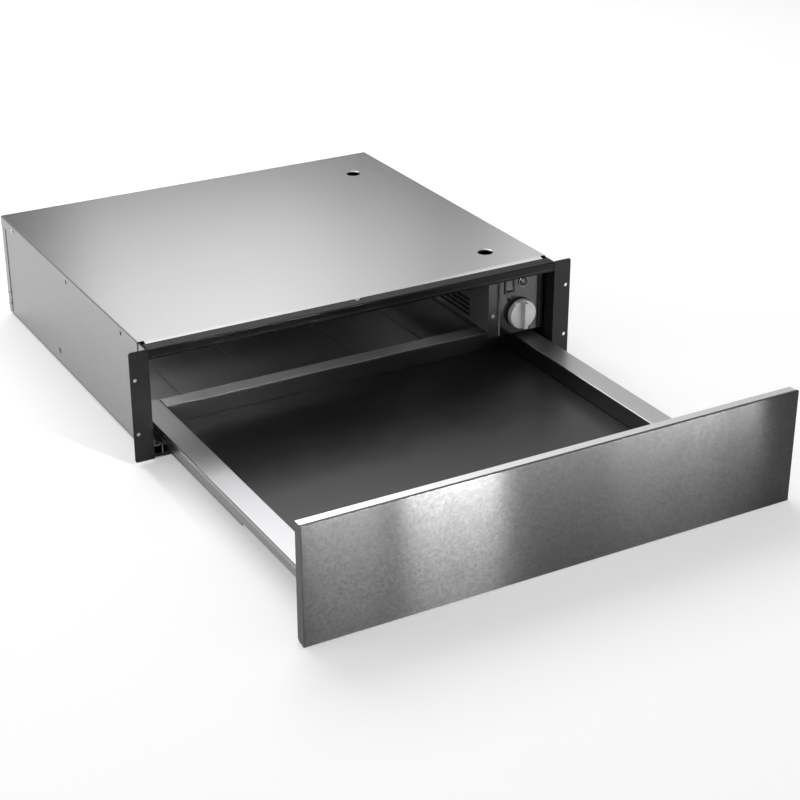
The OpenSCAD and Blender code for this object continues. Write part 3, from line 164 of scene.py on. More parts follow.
class Board:
    """The node tree of one material, with short calls for the nodes that the finishes share."""

    def __init__(self, name: str) -> None:
        """Starts a material that holds one principled shader.

        Args:
            name: The material's name.
        """
        self.material = bpy.data.materials.new(name)
        self.material.use_nodes = True
        self.tree = self.material.node_tree
        self.tree.nodes.clear()
        self.output = self.add("ShaderNodeOutputMaterial")
        self.shader = self.add("ShaderNodeBsdfPrincipled")
        self.join(self.shader.outputs["BSDF"], self.output.inputs["Surface"])
        self.place = self.add("ShaderNodeTexCoord").outputs["Object"]

    def add(self, kind: str) -> bpy.types.Node:
        """Adds one node of the given kind and returns it."""
        return self.tree.nodes.new(kind)

    def join(self, start: Socket, end: Socket) -> None:
        """Links two sockets."""
        self.tree.links.new(start, end)

    def fix(self, **values: object) -> None:
        """Sets constant values on the shader's own sockets, by their names with _ for a space."""
        for name, value in values.items():
            self.shader.inputs[name.replace("_", " ")].default_value = value

    def stretched(self, scale: Vector, turn: Vector = Vector()) -> Socket:
        """Object coordinates scaled and turned by a Mapping node.

        Args:
            scale: Scale factors along the three axes.
            turn: Rotation in radians.

        Returns:
            The mapped vector.
        """
        node = self.add("ShaderNodeMapping")
        node.inputs["Scale"].default_value = scale
        node.inputs["Rotation"].default_value = turn
        self.join(self.place, node.inputs["Vector"])
        return node.outputs["Vector"]

    def noise(self, vector: Socket, scale: float = 1.0, detail: float = 2.0) -> Socket:
        """A noise pattern.

        Args:
            vector: Coordinates to read.
            scale: Scale of the pattern on them.
            detail: Octaves of finer noise.

        Returns:
            The pattern's value, from 0 to 1.
        """
        node = self.add("ShaderNodeTexNoise")
        node.inputs["Scale"].default_value = scale
        node.inputs["Detail"].default_value = detail
        self.join(vector, node.inputs["Vector"])
        return node.outputs["Fac"]

    def spread(self, value: Socket, result: Span, limits: Span = MIDDLE) -> Socket:
        """Maps part of a pattern's range to new limits.

        Args:
            value: The pattern.
            result: Results at the two limits.
            limits: Pattern values that give them.

        Returns:
            The mapped value.
        """
        node = self.add("ShaderNodeMapRange")
        for name, number in zip(("From Min", "From Max", "To Min", "To Max"), (*limits, *result)):
            node.inputs[name].default_value = number
        self.join(value, node.inputs["Value"])
        return node.outputs["Result"]

    def blend(self, first: Socket, second: Socket, share: float) -> Socket:
        """Blends two patterns.

        Args:
            first: First pattern.
            second: Second pattern.
            share: The second pattern's share, from 0 to 1.

        Returns:
            The blend.
        """
        node = self.add("ShaderNodeMix")
        node.data_type = "FLOAT"
        node.inputs["Factor"].default_value = share
        self.join(first, node.inputs["A"])
        self.join(second, node.inputs["B"])
        return node.outputs["Result"]

    def tones(self, value: Socket, dark: Colour, light: Colour) -> None:
        """Colours the shader between two tones.

        Args:
            value: 0 gives the dark tone and 1 the light tone.
            dark: Dark tone, linear.
            light: Light tone, linear.
        """
        node = self.add("ShaderNodeMix")
        node.data_type = "RGBA"
        # A Mix node has sockets of the same name for each kind of data; these numbers are the colour's.
        node.inputs[6].default_value = (*dark, 1.0)
        node.inputs[7].default_value = (*light, 1.0)
        self.join(value, node.inputs["Factor"])
        self.join(node.outputs[2], self.shader.inputs["Base Color"])

    def shade(self, value: Socket, tone: Colour, factors: Span, limits: Span = MIDDLE) -> None:
        """Lets a pattern make one tone darker and lighter.

        Args:
            value: The pattern.
            tone: The tone, linear.
            factors: Factors on the tone at the two limits.
            limits: Pattern values that give them.
        """
        low, high = factors
        self.tones(self.spread(value, FULL, limits), scaled(tone, low), scaled(tone, high))

    def rough(self, value: Socket, roughness: float, factors: Span) -> None:
        """Lets a pattern set the roughness.

        Args:
            value: The pattern.
            roughness: Middle roughness.
            factors: Factors on it at the two ends of the pattern's middle range.
        """
        low, high = factors
        self.join(self.spread(value, (roughness * low, roughness * high)), self.shader.inputs["Roughness"])

    def bump(self, value: Socket, strength: float, depth: float) -> None:
        """Lets a pattern raise the surface.

        Args:
            value: The pattern.
            strength: Strength of the effect.
            depth: Height of the relief in metres.
        """
        node = self.add("ShaderNodeBump")
        node.inputs["Strength"].default_value = strength
        node.inputs["Distance"].default_value = depth
        self.join(value, node.inputs["Height"])
        self.join(node.outputs["Normal"], self.shader.inputs["Normal"])


def scaled(colour: Colour, factor: float) -> Colour:
    """A colour made lighter or darker by a factor."""
    return tuple(min(1.0, part * factor) for part in colour)


def grey(level: float) -> Colour:
    """A grey of one linear level."""
    return (level, level, level)


@dataclass(frozen=True)
class Finish:
    """What every finish has: the material's name, and its tone, linear."""

    name: str
    tone: Colour

    def make(self) -> bpy.types.Material:
        """Makes the material.

        Returns:
            The material.
        """
        board = Board(self.name)
        self.dress(board)
        return board.material

    def dress(self, board: Board) -> None:
        """Adds what is particular to the finish; each kind of finish has its own."""
        raise NotImplementedError(self.name)


@dataclass(frozen=True)
class GroundSteel(Finish):
    """Bare or zinc-coated sheet with a ground or rolled grain, fine specks and faint clouds."""

    grain: Axis
    roughness: float = 0.28
    wander: float = 0.14
    grain_length: float = 22.0
    grain_width: float = 520.0
    contrast: float = 0.1
    contrast_limits: Span = (0.36, 0.64)
    speckle: float = 0.3
    speck_scale: float = 640.0
    clouds: float = 0.05
    cloud_scale: float = 5.0
    relief: float = 0.06
    depth: float = 0.05 * MM
    metal: float = 1.0
    sheen_stretch: float = 0.0

    def dress(self, board: Board) -> None:
        """Adds grain, specks and clouds, and the sheen where it is stretched.

        Args:
            board: The material's node tree.
        """
        grain = board.stretched(self.grain.stretch(self.grain_length, self.grain_width))
        lines = board.noise(grain, detail=3.0)
        specks = board.noise(board.place, self.speck_scale, detail=1.0)
        clouds = board.noise(board.place, self.cloud_scale, detail=3.0)
        pattern = board.blend(lines, specks, self.speckle)
        shade = board.blend(pattern, clouds, self.clouds / (self.clouds + self.contrast))
        board.shade(shade, self.tone, (1.0 - self.contrast, 1.0 + self.contrast), self.contrast_limits)
        board.rough(pattern, self.roughness, (1.0 - self.wander, 1.0 + self.wander))
        if self.relief:
            board.bump(pattern, self.relief, self.depth)
        board.fix(Metallic=self.metal)
        if self.sheen_stretch:
            self.stretch_sheen(board)

    def stretch_sheen(self, board: Board) -> None:
        """Lets the sheen stretch by the way that the grain runs on each face.

        Args:
            board: The material's node tree.
        """
        board.fix(Anisotropic=self.sheen_stretch)
        facing = board.add("ShaderNodeNewGeometry")
        across = board.add("ShaderNodeVectorMath")
        across.operation = "CROSS_PRODUCT"
        across.inputs[1].default_value = Vector(self.grain.value) + OFF_GRAIN
        board.join(facing.outputs["Normal"], across.inputs[0])
        board.join(across.outputs["Vector"], board.shader.inputs["Tangent"])


@dataclass(frozen=True)
class PolishedSteel(Finish):
    """Bright turned or rolled steel with faint scuffs."""

    roughness: float = 0.16
    sheen: Span = (0.7, 1.5)
    shades: Span = (0.86, 1.0)
    scuff_scale: float = 900.0
    relief: float = 0.04
    depth: float = 0.02 * MM

    def dress(self, board: Board) -> None:
        """Adds the scuffs.

        Args:
            board: The material's node tree.
        """
        scuffs = board.noise(board.place, self.scuff_scale, detail=4.0)
        board.shade(scuffs, self.tone, self.shades)
        board.rough(scuffs, self.roughness, self.sheen)
        board.bump(scuffs, self.relief, self.depth)
        board.fix(Metallic=1.0)


@dataclass(frozen=True)
class PowderCoat(Finish):
    """Baked powder paint with a fine orange peel."""

    roughness: float = 0.5
    sheen: Span = (0.9, 1.1)
    shades: Span = (0.9, 1.1)
    cloud_scale: float = 22.0
    peel: float = 0.12
    peel_scale: float = 750.0
    depth: float = 0.08 * MM
    gloss: float = 0.4

    def dress(self, board: Board) -> None:
        """Adds the orange peel and faint clouds.

        Args:
            board: The material's node tree.
        """
        peel = board.noise(board.place, self.peel_scale)
        clouds = board.noise(board.place, self.cloud_scale, detail=3.0)
        board.shade(clouds, self.tone, self.shades)
        board.rough(peel, self.roughness, self.sheen)
        board.bump(peel, self.peel, self.depth)
        board.fix(Specular_IOR_Level=self.gloss)


@dataclass(frozen=True)
class Moulding(Finish):
    """Moulded plastic, from matt to glossy."""

    roughness: float
    sheen: Span = (0.85, 1.15)
    shades: Span = (0.92, 1.08)
    flow_scale: float = 60.0
    grain: float = 0.05
    grain_scale: float = 1400.0
    depth: float = 0.03 * MM
    metallic: float = 0.0

    def dress(self, board: Board) -> None:
        """Adds the mould's fine grain and the flow of the plastic.

        Args:
            board: The material's node tree.
        """
        fine = board.noise(board.place, self.grain_scale)
        flow = board.noise(board.place, self.flow_scale)
        board.shade(flow, self.tone, self.shades)
        board.rough(flow, self.roughness, self.sheen)
        board.bump(fine, self.grain, self.depth)
        board.fix(Metallic=self.metallic)


@dataclass(frozen=True)
class GripRubber(Finish):
    """Matt rubber with a pored, slightly dusty surface."""

    roughness: float
    pores: float
    sheen: Span = (0.92, 1.08)
    shades: Span = (0.88, 1.14)
    dust_scale: float = 40.0
    pore_scale: float = 900.0
    depth: float = 0.05 * MM

    def dress(self, board: Board) -> None:
        """Adds pores and dust.

        Args:
            board: The material's node tree.
        """
        pores = board.add("ShaderNodeTexVoronoi")
        pores.inputs["Scale"].default_value = self.pore_scale
        board.join(board.place, pores.inputs["Vector"])
        dust = board.noise(board.place, self.dust_scale, detail=4.0)
        board.shade(dust, self.tone, self.shades)
        board.rough(dust, self.roughness, self.sheen)
        board.bump(pores.outputs["Distance"], self.pores, self.depth)


@dataclass(frozen=True)
class PressedWool(Finish):
    """Pressed mineral wool with its crossing fibres."""

    roughness: float = 0.95
    shades: Span = (0.6, 1.2)
    shade_limits: Span = (0.4, 0.6)
    fibre_length: float = 60.0
    fibre_width: float = 900.0
    leans: Span = (0.6, 0.3)
    relief: float = 0.8
    depth: float = 0.6 * MM

    def dress(self, board: Board) -> None:
        """Adds the two layers of crossing fibres.

        Args:
            board: The material's node tree.
        """
        layers = []
        for axis, lean in zip((Axis.X, Axis.Y), self.leans):
            scale = axis.stretch(self.fibre_length, self.fibre_width)
            layers.append(board.noise(board.stretched(scale, Vector((0.0, 0.0, lean))), detail=3.0))
        fibres = board.blend(*layers, share=0.5)
        board.shade(fibres, self.tone, self.shades, self.shade_limits)
        board.bump(fibres, self.relief, self.depth)
        board.fix(Roughness=self.roughness)


@dataclass(frozen=True)
class SmokedLens(Finish):
    """Tinted clear plastic of a lamp lens, with moulded rings."""

    roughness: float = 0.34
    clearness: float = 0.35
    refraction: float = 1.49
    ring_scale: float = 300.0
    ring_shade: float = 0.8
    relief: float = 0.15
    depth: float = 0.05 * MM

    def dress(self, board: Board) -> None:
        """Adds the moulded rings.

        Args:
            board: The material's node tree.
        """
        rings = board.add("ShaderNodeTexWave")
        rings.wave_type = "RINGS"
        rings.inputs["Scale"].default_value = self.ring_scale
        board.join(board.place, rings.inputs["Vector"])
        board.tones(rings.outputs["Fac"], scaled(self.tone, self.ring_shade), self.tone)
        board.bump(rings.outputs["Fac"], self.relief, self.depth)
        board.fix(Roughness=self.roughness, Transmission_Weight=self.clearness, IOR=self.refraction)


@dataclass(frozen=True)
class Print(Finish):
    """Printing ink of a slightly uneven tone."""

    roughness: float = 0.6
    shades: Span = (0.85, 1.0)
    ink_scale: float = 2600.0

    def dress(self, board: Board) -> None:
        """Adds the uneven tone of the ink.

        Args:
            board: The material's node tree.
        """
        ink = board.noise(board.place, self.ink_scale)
        board.shade(ink, self.tone, self.shades)
        board.fix(Roughness=self.roughness)


COVER = GroundSteel("cover_sheet", grey(0.66), Axis.Y, roughness=0.14, contrast=0.02, relief=0.01)
SHELL = GroundSteel("shell_sheet", grey(0.31), Axis.Y, roughness=0.3, contrast=0.012, relief=0.004)
LINING = GroundSteel("lining_sheet", grey(0.42), Axis.Y, roughness=0.5, contrast=0.03, relief=0.0,
                     metal=0.85)
PROFILE = GroundSteel("profile_stainless", (0.55, 0.55, 0.56), Axis.X, roughness=0.34, contrast=0.03,
                      wander=0.05, grain_length=60.0, grain_width=600.0, relief=0.0, metal=0.5,
                      sheen_stretch=0.5)
RIM = GroundSteel("rim_stainless", grey(0.66), Axis.X, roughness=0.3, contrast=0.02, relief=0.0)
# Painted shade: the front skin's upward faces take the front's darkened tone, without its stretched sheen,
# so that they show as a dark line.
PAINTED_SHADE_EDGE = GroundSteel("edge_stainless_painted_shade", grey(0.05), Axis.X, roughness=0.32, contrast=0.02, relief=0.0)
# Painted highlight: pale and half metallic, so that the fascia's left-facing edge shows as a bright lit
# line; the fascia's own steel is dark.
PAINTED_LIT_EDGE = GroundSteel("painted_highlight_edge", grey(0.8), Axis.Z, roughness=0.5, contrast=0.02, relief=0.0, metal=0.4)
BOX = GroundSteel("box_sheet", grey(0.085), Axis.Z, roughness=0.3, contrast=0.04)
CHARCOAL = PowderCoat("charcoal_coat", (0.0205, 0.0205, 0.021), roughness=0.45, gloss=0.24)
RAIL = PowderCoat("rail_coat", (0.008, 0.008, 0.0082), roughness=0.42, gloss=0.18)
CARRIER = PowderCoat("carrier_coat", grey(0.045), roughness=0.4)
# Painted shade: far darker than stainless steel is, so that the white floor that the front mirrors comes
# out as a dim reflection; see floor_material.
FRONT = GroundSteel("front_stainless", (0.05, 0.05, 0.0504), Axis.X, roughness=0.21, contrast=0.13,
                    wander=0.035, speckle=0.85, speck_scale=340.0, grain_length=190.0, grain_width=560.0,
                    relief=0.0, sheen_stretch=1.0)
BAND = GroundSteel("band_stainless", (0.3, 0.3, 0.305), Axis.Y, roughness=0.26, contrast=0.03, wander=0.04,
                   speckle=0.1, relief=0.0)
TRAY = GroundSteel("tray_stainless", (0.47, 0.47, 0.48), Axis.Y, roughness=0.32, contrast=0.03, wander=0.05,
                   grain_length=60.0, grain_width=600.0, relief=0.0, metal=0.9)
RUNNER = GroundSteel("runner_steel", grey(0.22), Axis.Y, roughness=0.3)
FASCIA = GroundSteel("fascia_steel", grey(0.1), Axis.Z, roughness=0.16, contrast=0.05, relief=0.01)
BALL = PolishedSteel("ball_steel", grey(0.8), roughness=0.08)
SCREW = PolishedSteel("screw_steel", grey(0.66), roughness=0.24)
CAGE = PolishedSteel("cage_steel", (0.45, 0.44, 0.42), roughness=0.35)
HEATER = PolishedSteel("heater_alloy", (0.16, 0.15, 0.15), roughness=0.5)
KNOB = Moulding("knob_silver", grey(0.76), roughness=0.42, metallic=0.2)
POINTER = Moulding("pointer_white", grey(0.85), roughness=0.4)
COLLAR = Moulding("collar_dark", grey(0.02), roughness=0.45)
SWITCH = Moulding("switch_black", grey(0.012), roughness=0.35)
ROCKER = Moulding("rocker_grey", grey(0.16), roughness=0.35)
RING = Moulding("lamp_ring_grey", grey(0.28), roughness=0.3, metallic=0.6)
PALE = Moulding("device_pale", (0.72, 0.7, 0.64), roughness=0.45)
LATCH = Moulding("latch_dark", grey(0.06), roughness=0.5, grain=0.2)
PLUNGER = Moulding("plunger_pale", grey(0.65), roughness=0.4)
LENS = SmokedLens("lamp_lens", grey(0.09))
# The mat's own dark rubber, also painted as shade on the back profile's inner face.
MAT_RUBBER_AND_SHADE = GripRubber("mat_rubber", (0.013, 0.013, 0.0132), roughness=0.36, pores=0.2)
SEAL = GripRubber("seal_rubber", grey(0.012), roughness=0.6, pores=0.1)
WOOL = PressedWool("mineral_wool", (0.6, 0.56, 0.42))
MARK = Print("fascia_print", grey(0.008))


# The workshop that turns meshes into pieces


class Workshop:
    """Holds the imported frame, makes pieces, and dresses nodes."""

    def __init__(self, frame: dict) -> None:
        """Keeps the frame.
        """
        self.nodes: dict[str, bpy.types.Object] = frame["nodes"]
        self.slots = {row["node"]: row["material_slot"] for row in frame["record"]["subparts"]}
        self.materials: dict[str, bpy.types.Material] = {}

    def finish(self, finish: Finish) -> bpy.types.Material:
        """Makes a finish's material, once.

        Args:
            finish: The finish.

        Returns:
            Its material.
        """
        if finish.name not in self.materials:
            self.materials[finish.name] = finish.make()
        return self.materials[finish.name]

    def keep(self, finish: Finish, *nodes: str) -> None:
        """Dresses nodes whose shape stays as it is packed.

        Args:
            finish: The finish.
            nodes: Names of the nodes.
        """
        for name in nodes:
            item = self.nodes[name]
            if not item.material_slots:
                item.data.materials.append(None)
            for slot in item.material_slots:
                slot.material = self.finish(finish)
            LOG.info("%s keeps its shape, finish %s", name, finish.name)

    def piece(self, name: str, mesh: Mesh, body: str, slot: str, *finishes: Finish,
              stands_for: tuple[str, ...] = (), crease: float = 32.0) -> bpy.types.Object:
        """Makes an object of a mesh and lets it ride on a body.

        Args:
            name: Name of the piece.
            mesh: Its mesh, in the row frame; it is freed.
            body: Body that it rides on.
            slot: The record's material slot; not used.
            finishes: Finishes, in the order of the mesh's material numbers.
            stands_for: Nodes that it replaces.
            crease: Edges that turn by more than this many degrees stay sharp.

        Returns:
            The object.
        """
        data = bpy.data.meshes.new(name)
        mesh.to_mesh(data)
        mesh.free()
        data.shade_smooth()
        data.set_sharp_from_angle(angle=math.radians(crease))
        for finish in finishes:
            data.materials.append(self.finish(finish))
        item = bpy.data.objects.new(name, data)
        bpy.context.scene.collection.objects.link(item)
        flatten = item.modifiers.new("even_faces", "WEIGHTED_NORMAL")
        flatten.keep_sharp = True
        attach(item, body)
        if stands_for:
            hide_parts(*stands_for)
        LOG.info("%s made, %d faces", name, len(data.polygons))
        return item

    def soften(self, finish: Finish, *nodes: str, edge: float, steps: int = 2,
               faced: Finish | None = None, facing: Vector = UPWARD) -> None:
        """Replaces nodes by copies of them whose sharp edges are rounded.

        Args:
            finish: The finish.
            nodes: Names of the nodes.
            edge: Width of the rounding in metres.
            steps: Segments of the rounding.
            faced: A second finish, for the faces that look one way.
            facing: The way that those faces look.
        """
        finishes = (finish, faced) if faced else (finish,)
        for name in nodes:
            source = self.nodes[name]
            mesh = bmesh.new()
            mesh.from_mesh(source.data)
            bmesh.ops.remove_doubles(mesh, verts=mesh.verts, dist=WELD)
            bmesh.ops.dissolve_degenerate(mesh, dist=WELD, edges=mesh.edges)
            bmesh.ops.dissolve_limit(mesh, angle_limit=FLAT_TURN, verts=mesh.verts, edges=mesh.edges)
            sharp = [e for e in mesh.edges if e.is_manifold and e.calc_face_angle(0.0) > SHARP_TURN]
            rounded(mesh, sharp, edge, steps)
            mesh.normal_update()
            for face in mesh.faces:
                face.material_index = int(bool(faced) and face.normal.dot(facing) > FACED_COSINE)
            self.piece(name + "_dressed", mesh, source["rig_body"], self.slots[name], *finishes,
                       stands_for=(name,))


def rounded(mesh: Mesh, edges: list, width: float, steps: int = 2) -> list:
    """Rounds edges of a mesh.

    Args:
        mesh: The mesh.
        edges: The edges.
        width: Width of the rounding in metres.
        steps: Segments of the rounding.

    Returns:
        The new vertices.
    """
    made = bmesh.ops.bevel(
        mesh, geom=edges, offset=width, offset_type="OFFSET", segments=steps, profile=0.5,
        affect="EDGES", clamp_overlap=True, material=-1,
    )
    return made["verts"]


def block(mesh: Mesh, low: Vector, high: Vector, edge: float = 0.0) -> list:
    """Adds a box, with rounded edges where it is given their width.

    Args:
        mesh: Mesh to add to.
        low: Lowest corner.
        high: Highest corner.
        edge: Width of the rounding in metres.

    Returns:
        The box's vertices before it was rounded.
    """
    place = Matrix.Translation((high + low) / 2) @ Matrix.Diagonal((*(high - low), 1.0))
    made = bmesh.ops.create_cube(mesh, size=1.0, matrix=place)["verts"]
    if edge:
        rounded(mesh, list({e for v in made for e in v.link_edges}), edge)
    return made


def paint(verts: list, number: int) -> None:
    """Gives the faces at some vertices a material number."""
    for face in {face for vertex in verts for face in vertex.link_faces}:
        face.material_index = number


def turned(mesh: Mesh, outline: list[Span], place: Matrix, steps: int) -> list:
    """Turns an outline of radius and height about an axis.

    Args:
        mesh: Mesh to add to.
        outline: Points of radius and height in metres; the ends on the axis are closed by the merge.
        place: Matrix that puts the local Z axis where it belongs.
        steps: Steps of the full turn.

    Returns:
        The new vertices.
    """
    before = set(mesh.verts)
    points = [mesh.verts.new((radius, 0.0, height)) for radius, height in outline]
    edges = [mesh.edges.new(pair) for pair in zip(points, points[1:])]
    bmesh.ops.spin(
        mesh, geom=points + edges, cent=(0.0, 0.0, 0.0), axis=(0.0, 0.0, 1.0), angle=math.tau,
        steps=steps, use_merge=True, use_duplicate=False,
    )
    made = [v for v in mesh.verts if v not in before]
    bmesh.ops.remove_doubles(mesh, verts=made, dist=TURNED_WELD)
    made = [v for v in mesh.verts if v not in before]
    bmesh.ops.transform(mesh, matrix=place, verts=made)
    return made


def outward(mesh: Mesh) -> None:
    """Turns all faces outwards."""
    bmesh.ops.recalc_face_normals(mesh, faces=mesh.faces)


def facing_front(x: float, y: float, z: float) -> Matrix:
    """Matrix that points the local Z axis to the front, with local Y upwards."""
    return Matrix.Translation((x, y, z)) @ Matrix.Rotation(math.radians(90.0), 4, "X")


# Sub-assemblies


@dataclass
class Casing:
    """Sheet casing with its cover, lining, brackets, rail and screws."""

    edge: float = 0.16 * MM
    seal_edge: float = 0.4 * MM
    screw_edge: float = 0.1 * MM

    def build(self, shop: Workshop) -> None:
        """Makes and dresses all pieces of the casing.

        Args:
            shop: The workshop.
        """
        shop.soften(SHELL, "top_cover", edge=self.edge, faced=COVER)
        shop.soften(SHELL, "left_side_panel", "right_side_panel", "rear_panel", edge=self.edge)
        shop.soften(LINING, "bottom_panel", edge=self.edge)
        shop.soften(CHARCOAL, "left_mounting_bracket", "right_mounting_bracket", edge=self.edge)
        shop.soften(RAIL, "front_top_rail", edge=self.edge)
        shop.soften(SEAL, "rail_seal", edge=self.seal_edge)
        shop.soften(SCREW, "casing_screws", edge=self.screw_edge)
        shop.keep(LINING, "ceiling_liner")
        shop.keep(WOOL, "insulation_mat")


@dataclass
class Controls:
    """Control box with fascia, knob, rocker switch and lamp.

    Each of the marks is an angle from straight up in degrees, a distance from the knob's axis and a radius,
    both in millimetres. So are off_angle, off_distance and off_radius.
    """

    box_edge: float = 0.14 * MM
    edge: float = 0.3 * MM
    lens_edge: float = 0.1 * MM
    spindle_edge: float = 0.2 * MM
    marks: tuple[tuple[float, float, float], ...] = (
        (9.0, 25.0, 0.7), (46.0, 25.6, 0.6), (52.0, 26.6, 0.6), (129.0, 27.0, 0.9),
        (175.0, 25.0, 0.9), (217.0, 25.0, 0.9), (268.0, 24.0, 0.9),
    )
    off_angle: float = -34.0
    off_distance: float = 31.2
    off_radius: float = 2.9
    off_line: float = 0.45 * MM
    off_bar: float = 0.55
    ink: float = 0.03 * MM
    dot_top: float = 0.8
    dot_shoulder: float = 0.3
    dot_steps: int = 20
    ring_steps: int = 40
    disc_edge: float = 0.6 * MM
    disc_shoulder: float = 0.3
    disc_steps: int = 72
    axis_height: float = 69.0 * MM
    skirt: float = 19.5 * MM
    face: float = 18.5 * MM
    bore: float = 3.0 * MM
    grip_width: float = 6.8 * MM
    grip_height: float = 7.2 * MM
    grip_reach: float = 17.7 * MM
    grip_sink: float = 0.2 * MM
    grip_edge: float = 0.9 * MM
    grip_steps: int = 4
    grip_taper: tuple[float, float, float] = (0.82, 0.97, 1.0)
    knob_crease: float = 40.0
    pointer_size: float = 4.4 * MM
    pointer_taper: float = 0.82
    pointer_depth: float = 2.0 * MM

    def build(self, shop: Workshop) -> None:
        """Makes and dresses all pieces of the control box.

        Args:
            shop: The workshop.
        """
        shop.soften(BOX, "control_box", edge=self.box_edge, faced=LINING, facing=LEFTWARD)
        # The fascia's left-facing faces get a pale painted highlight.
        shop.soften(FASCIA, "control_fascia", edge=self.edge, steps=3, faced=PAINTED_LIT_EDGE, facing=LEFTWARD)
        shop.soften(SWITCH, "rocker_housing", edge=self.edge)
        shop.soften(ROCKER, "rocker", edge=self.edge)
        shop.soften(RING, "indicator_ring", edge=self.edge)
        shop.soften(LENS, "indicator_lens", edge=self.lens_edge)
        shop.soften(COLLAR, "knob_collar", edge=self.edge)
        shop.soften(SCREW, "knob_spindle", edge=self.spindle_edge)
        self.build_knob(shop)
        self.build_marks(shop)

    def build_knob(self, shop: Workshop) -> None:
        """Turns the knob's disc and sets its grip bar and pointer on it.

        Args:
            shop: The workshop.
        """
        low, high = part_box("knob")
        place = facing_front(high.x - self.skirt, high.y, self.axis_height)
        depth = high.y - low.y - self.grip_height
        e = self.disc_edge
        s = e * self.disc_shoulder
        mesh = bmesh.new()
        turned(mesh, [
            (self.bore, depth - e), (self.bore, 0.0), (self.skirt - e, 0.0), (self.skirt - s, s),
            (self.skirt, e), (self.skirt - s, depth / 2), (self.face, depth - e),
            (self.face - s, depth - s), (self.face - e, depth), (0.0, depth),
        ], place, self.disc_steps)
        half = self.grip_width / 2
        bar = block(mesh, Vector((-half, -self.grip_reach, depth - self.grip_sink)),
                    Vector((half, self.grip_reach, depth + self.grip_height)))
        top = [v for v in bar if v.co.z > depth]
        bmesh.ops.scale(mesh, vec=self.grip_taper, space=Matrix(), verts=top)
        edges = {edge for v in bar for edge in v.link_edges if any(w in top for w in edge.verts)}
        made = rounded(mesh, list(edges), self.grip_edge, self.grip_steps)
        grip = [v for v in set(bar) | set(made) if v.is_valid]
        bmesh.ops.transform(mesh, matrix=place, verts=grip)
        self.add_pointer(mesh, place, depth - self.pointer_depth / 2)
        outward(mesh)
        shop.piece("knob_dressed", mesh, "control_knob", "knob_silver", KNOB, POINTER, stands_for=("knob",),
                   crease=self.knob_crease)

    def add_pointer(self, mesh: Mesh, place: Matrix, level: float) -> None:
        """Adds the pointer, a triangle at the knob's rim.

        Args:
            mesh: The knob's mesh.
            place: Matrix of the knob.
            level: Height of the pointer's middle along the knob's axis.
        """
        turn = Matrix.Rotation(math.radians(-self.off_angle), 4, "Z")
        made = bmesh.ops.create_cone(
            mesh, cap_ends=True, segments=3, radius1=self.pointer_size,
            radius2=self.pointer_size * self.pointer_taper, depth=self.pointer_depth,
            matrix=turn @ Matrix.Translation((0.0, self.skirt, level)),
        )
        paint(made["verts"], 1)
        bmesh.ops.transform(mesh, matrix=place, verts=made["verts"])

    def spot(self, angle: float, distance: float) -> Matrix:
        """Finds the place of a mark on the fascia.

        Args:
            angle: Angle from straight up, to the right, in degrees.
            distance: Distance from the knob's axis in millimetres.

        Returns:
            Matrix that points the local Z axis to the front there.
        """
        turn = math.radians(angle)
        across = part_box("knob")[1].x - self.skirt + math.sin(turn) * distance * MM
        return facing_front(across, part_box("control_fascia")[0].y,
                            self.axis_height + math.cos(turn) * distance * MM)

    def build_marks(self, shop: Workshop) -> None:
        """Prints the marks round the knob: plain dots, and a ring with a bar for off.

        Args:
            shop: The workshop.
        """
        mesh = bmesh.new()
        ink = self.ink
        for angle, distance, radius in self.marks:
            r = radius * MM
            outline = [(0.0, ink), (r * self.dot_top, ink), (r, ink * self.dot_shoulder), (r, -ink)]
            turned(mesh, outline, self.spot(angle, distance), self.dot_steps)
        place = self.spot(self.off_angle, self.off_distance)
        r, w = self.off_radius * MM, self.off_line
        turned(mesh, [(r - w, -ink), (r - w, ink), (r, ink), (r, -ink)], place, self.ring_steps)
        reach = r * self.off_bar
        bar = block(mesh, Vector((-w / 2, -reach, -ink)), Vector((w / 2, reach, ink)))
        bmesh.ops.transform(mesh, matrix=place, verts=bar)
        outward(mesh)
        shop.piece("fascia_marks", mesh, "casing", "switch_plastic", MARK)


@dataclass
class AirHeater:
    """Blower, heating element, thermostat and wiring pieces inside the control box."""

    sheet_edge: float = 0.1 * MM
    housing_edge: float = 0.2 * MM
    device_edge: float = 0.4 * MM

    def build(self, shop: Workshop) -> None:
        """Makes and dresses all pieces of the air heater.

        Args:
            shop: The workshop.
        """
        shop.soften(HEATER, "heating_element", edge=self.sheet_edge)
        shop.soften(RUNNER, "heater_plate", edge=self.sheet_edge)
        shop.soften(SHELL, "blower_housing", edge=self.housing_edge)
        shop.keep(SHELL, "blower_wheel")
        shop.soften(LATCH, "blower_motor", edge=self.device_edge)
        shop.soften(PALE, "thermostat", "terminal_block", edge=self.device_edge)
        shop.soften(SWITCH, "cord_gland", edge=self.device_edge)


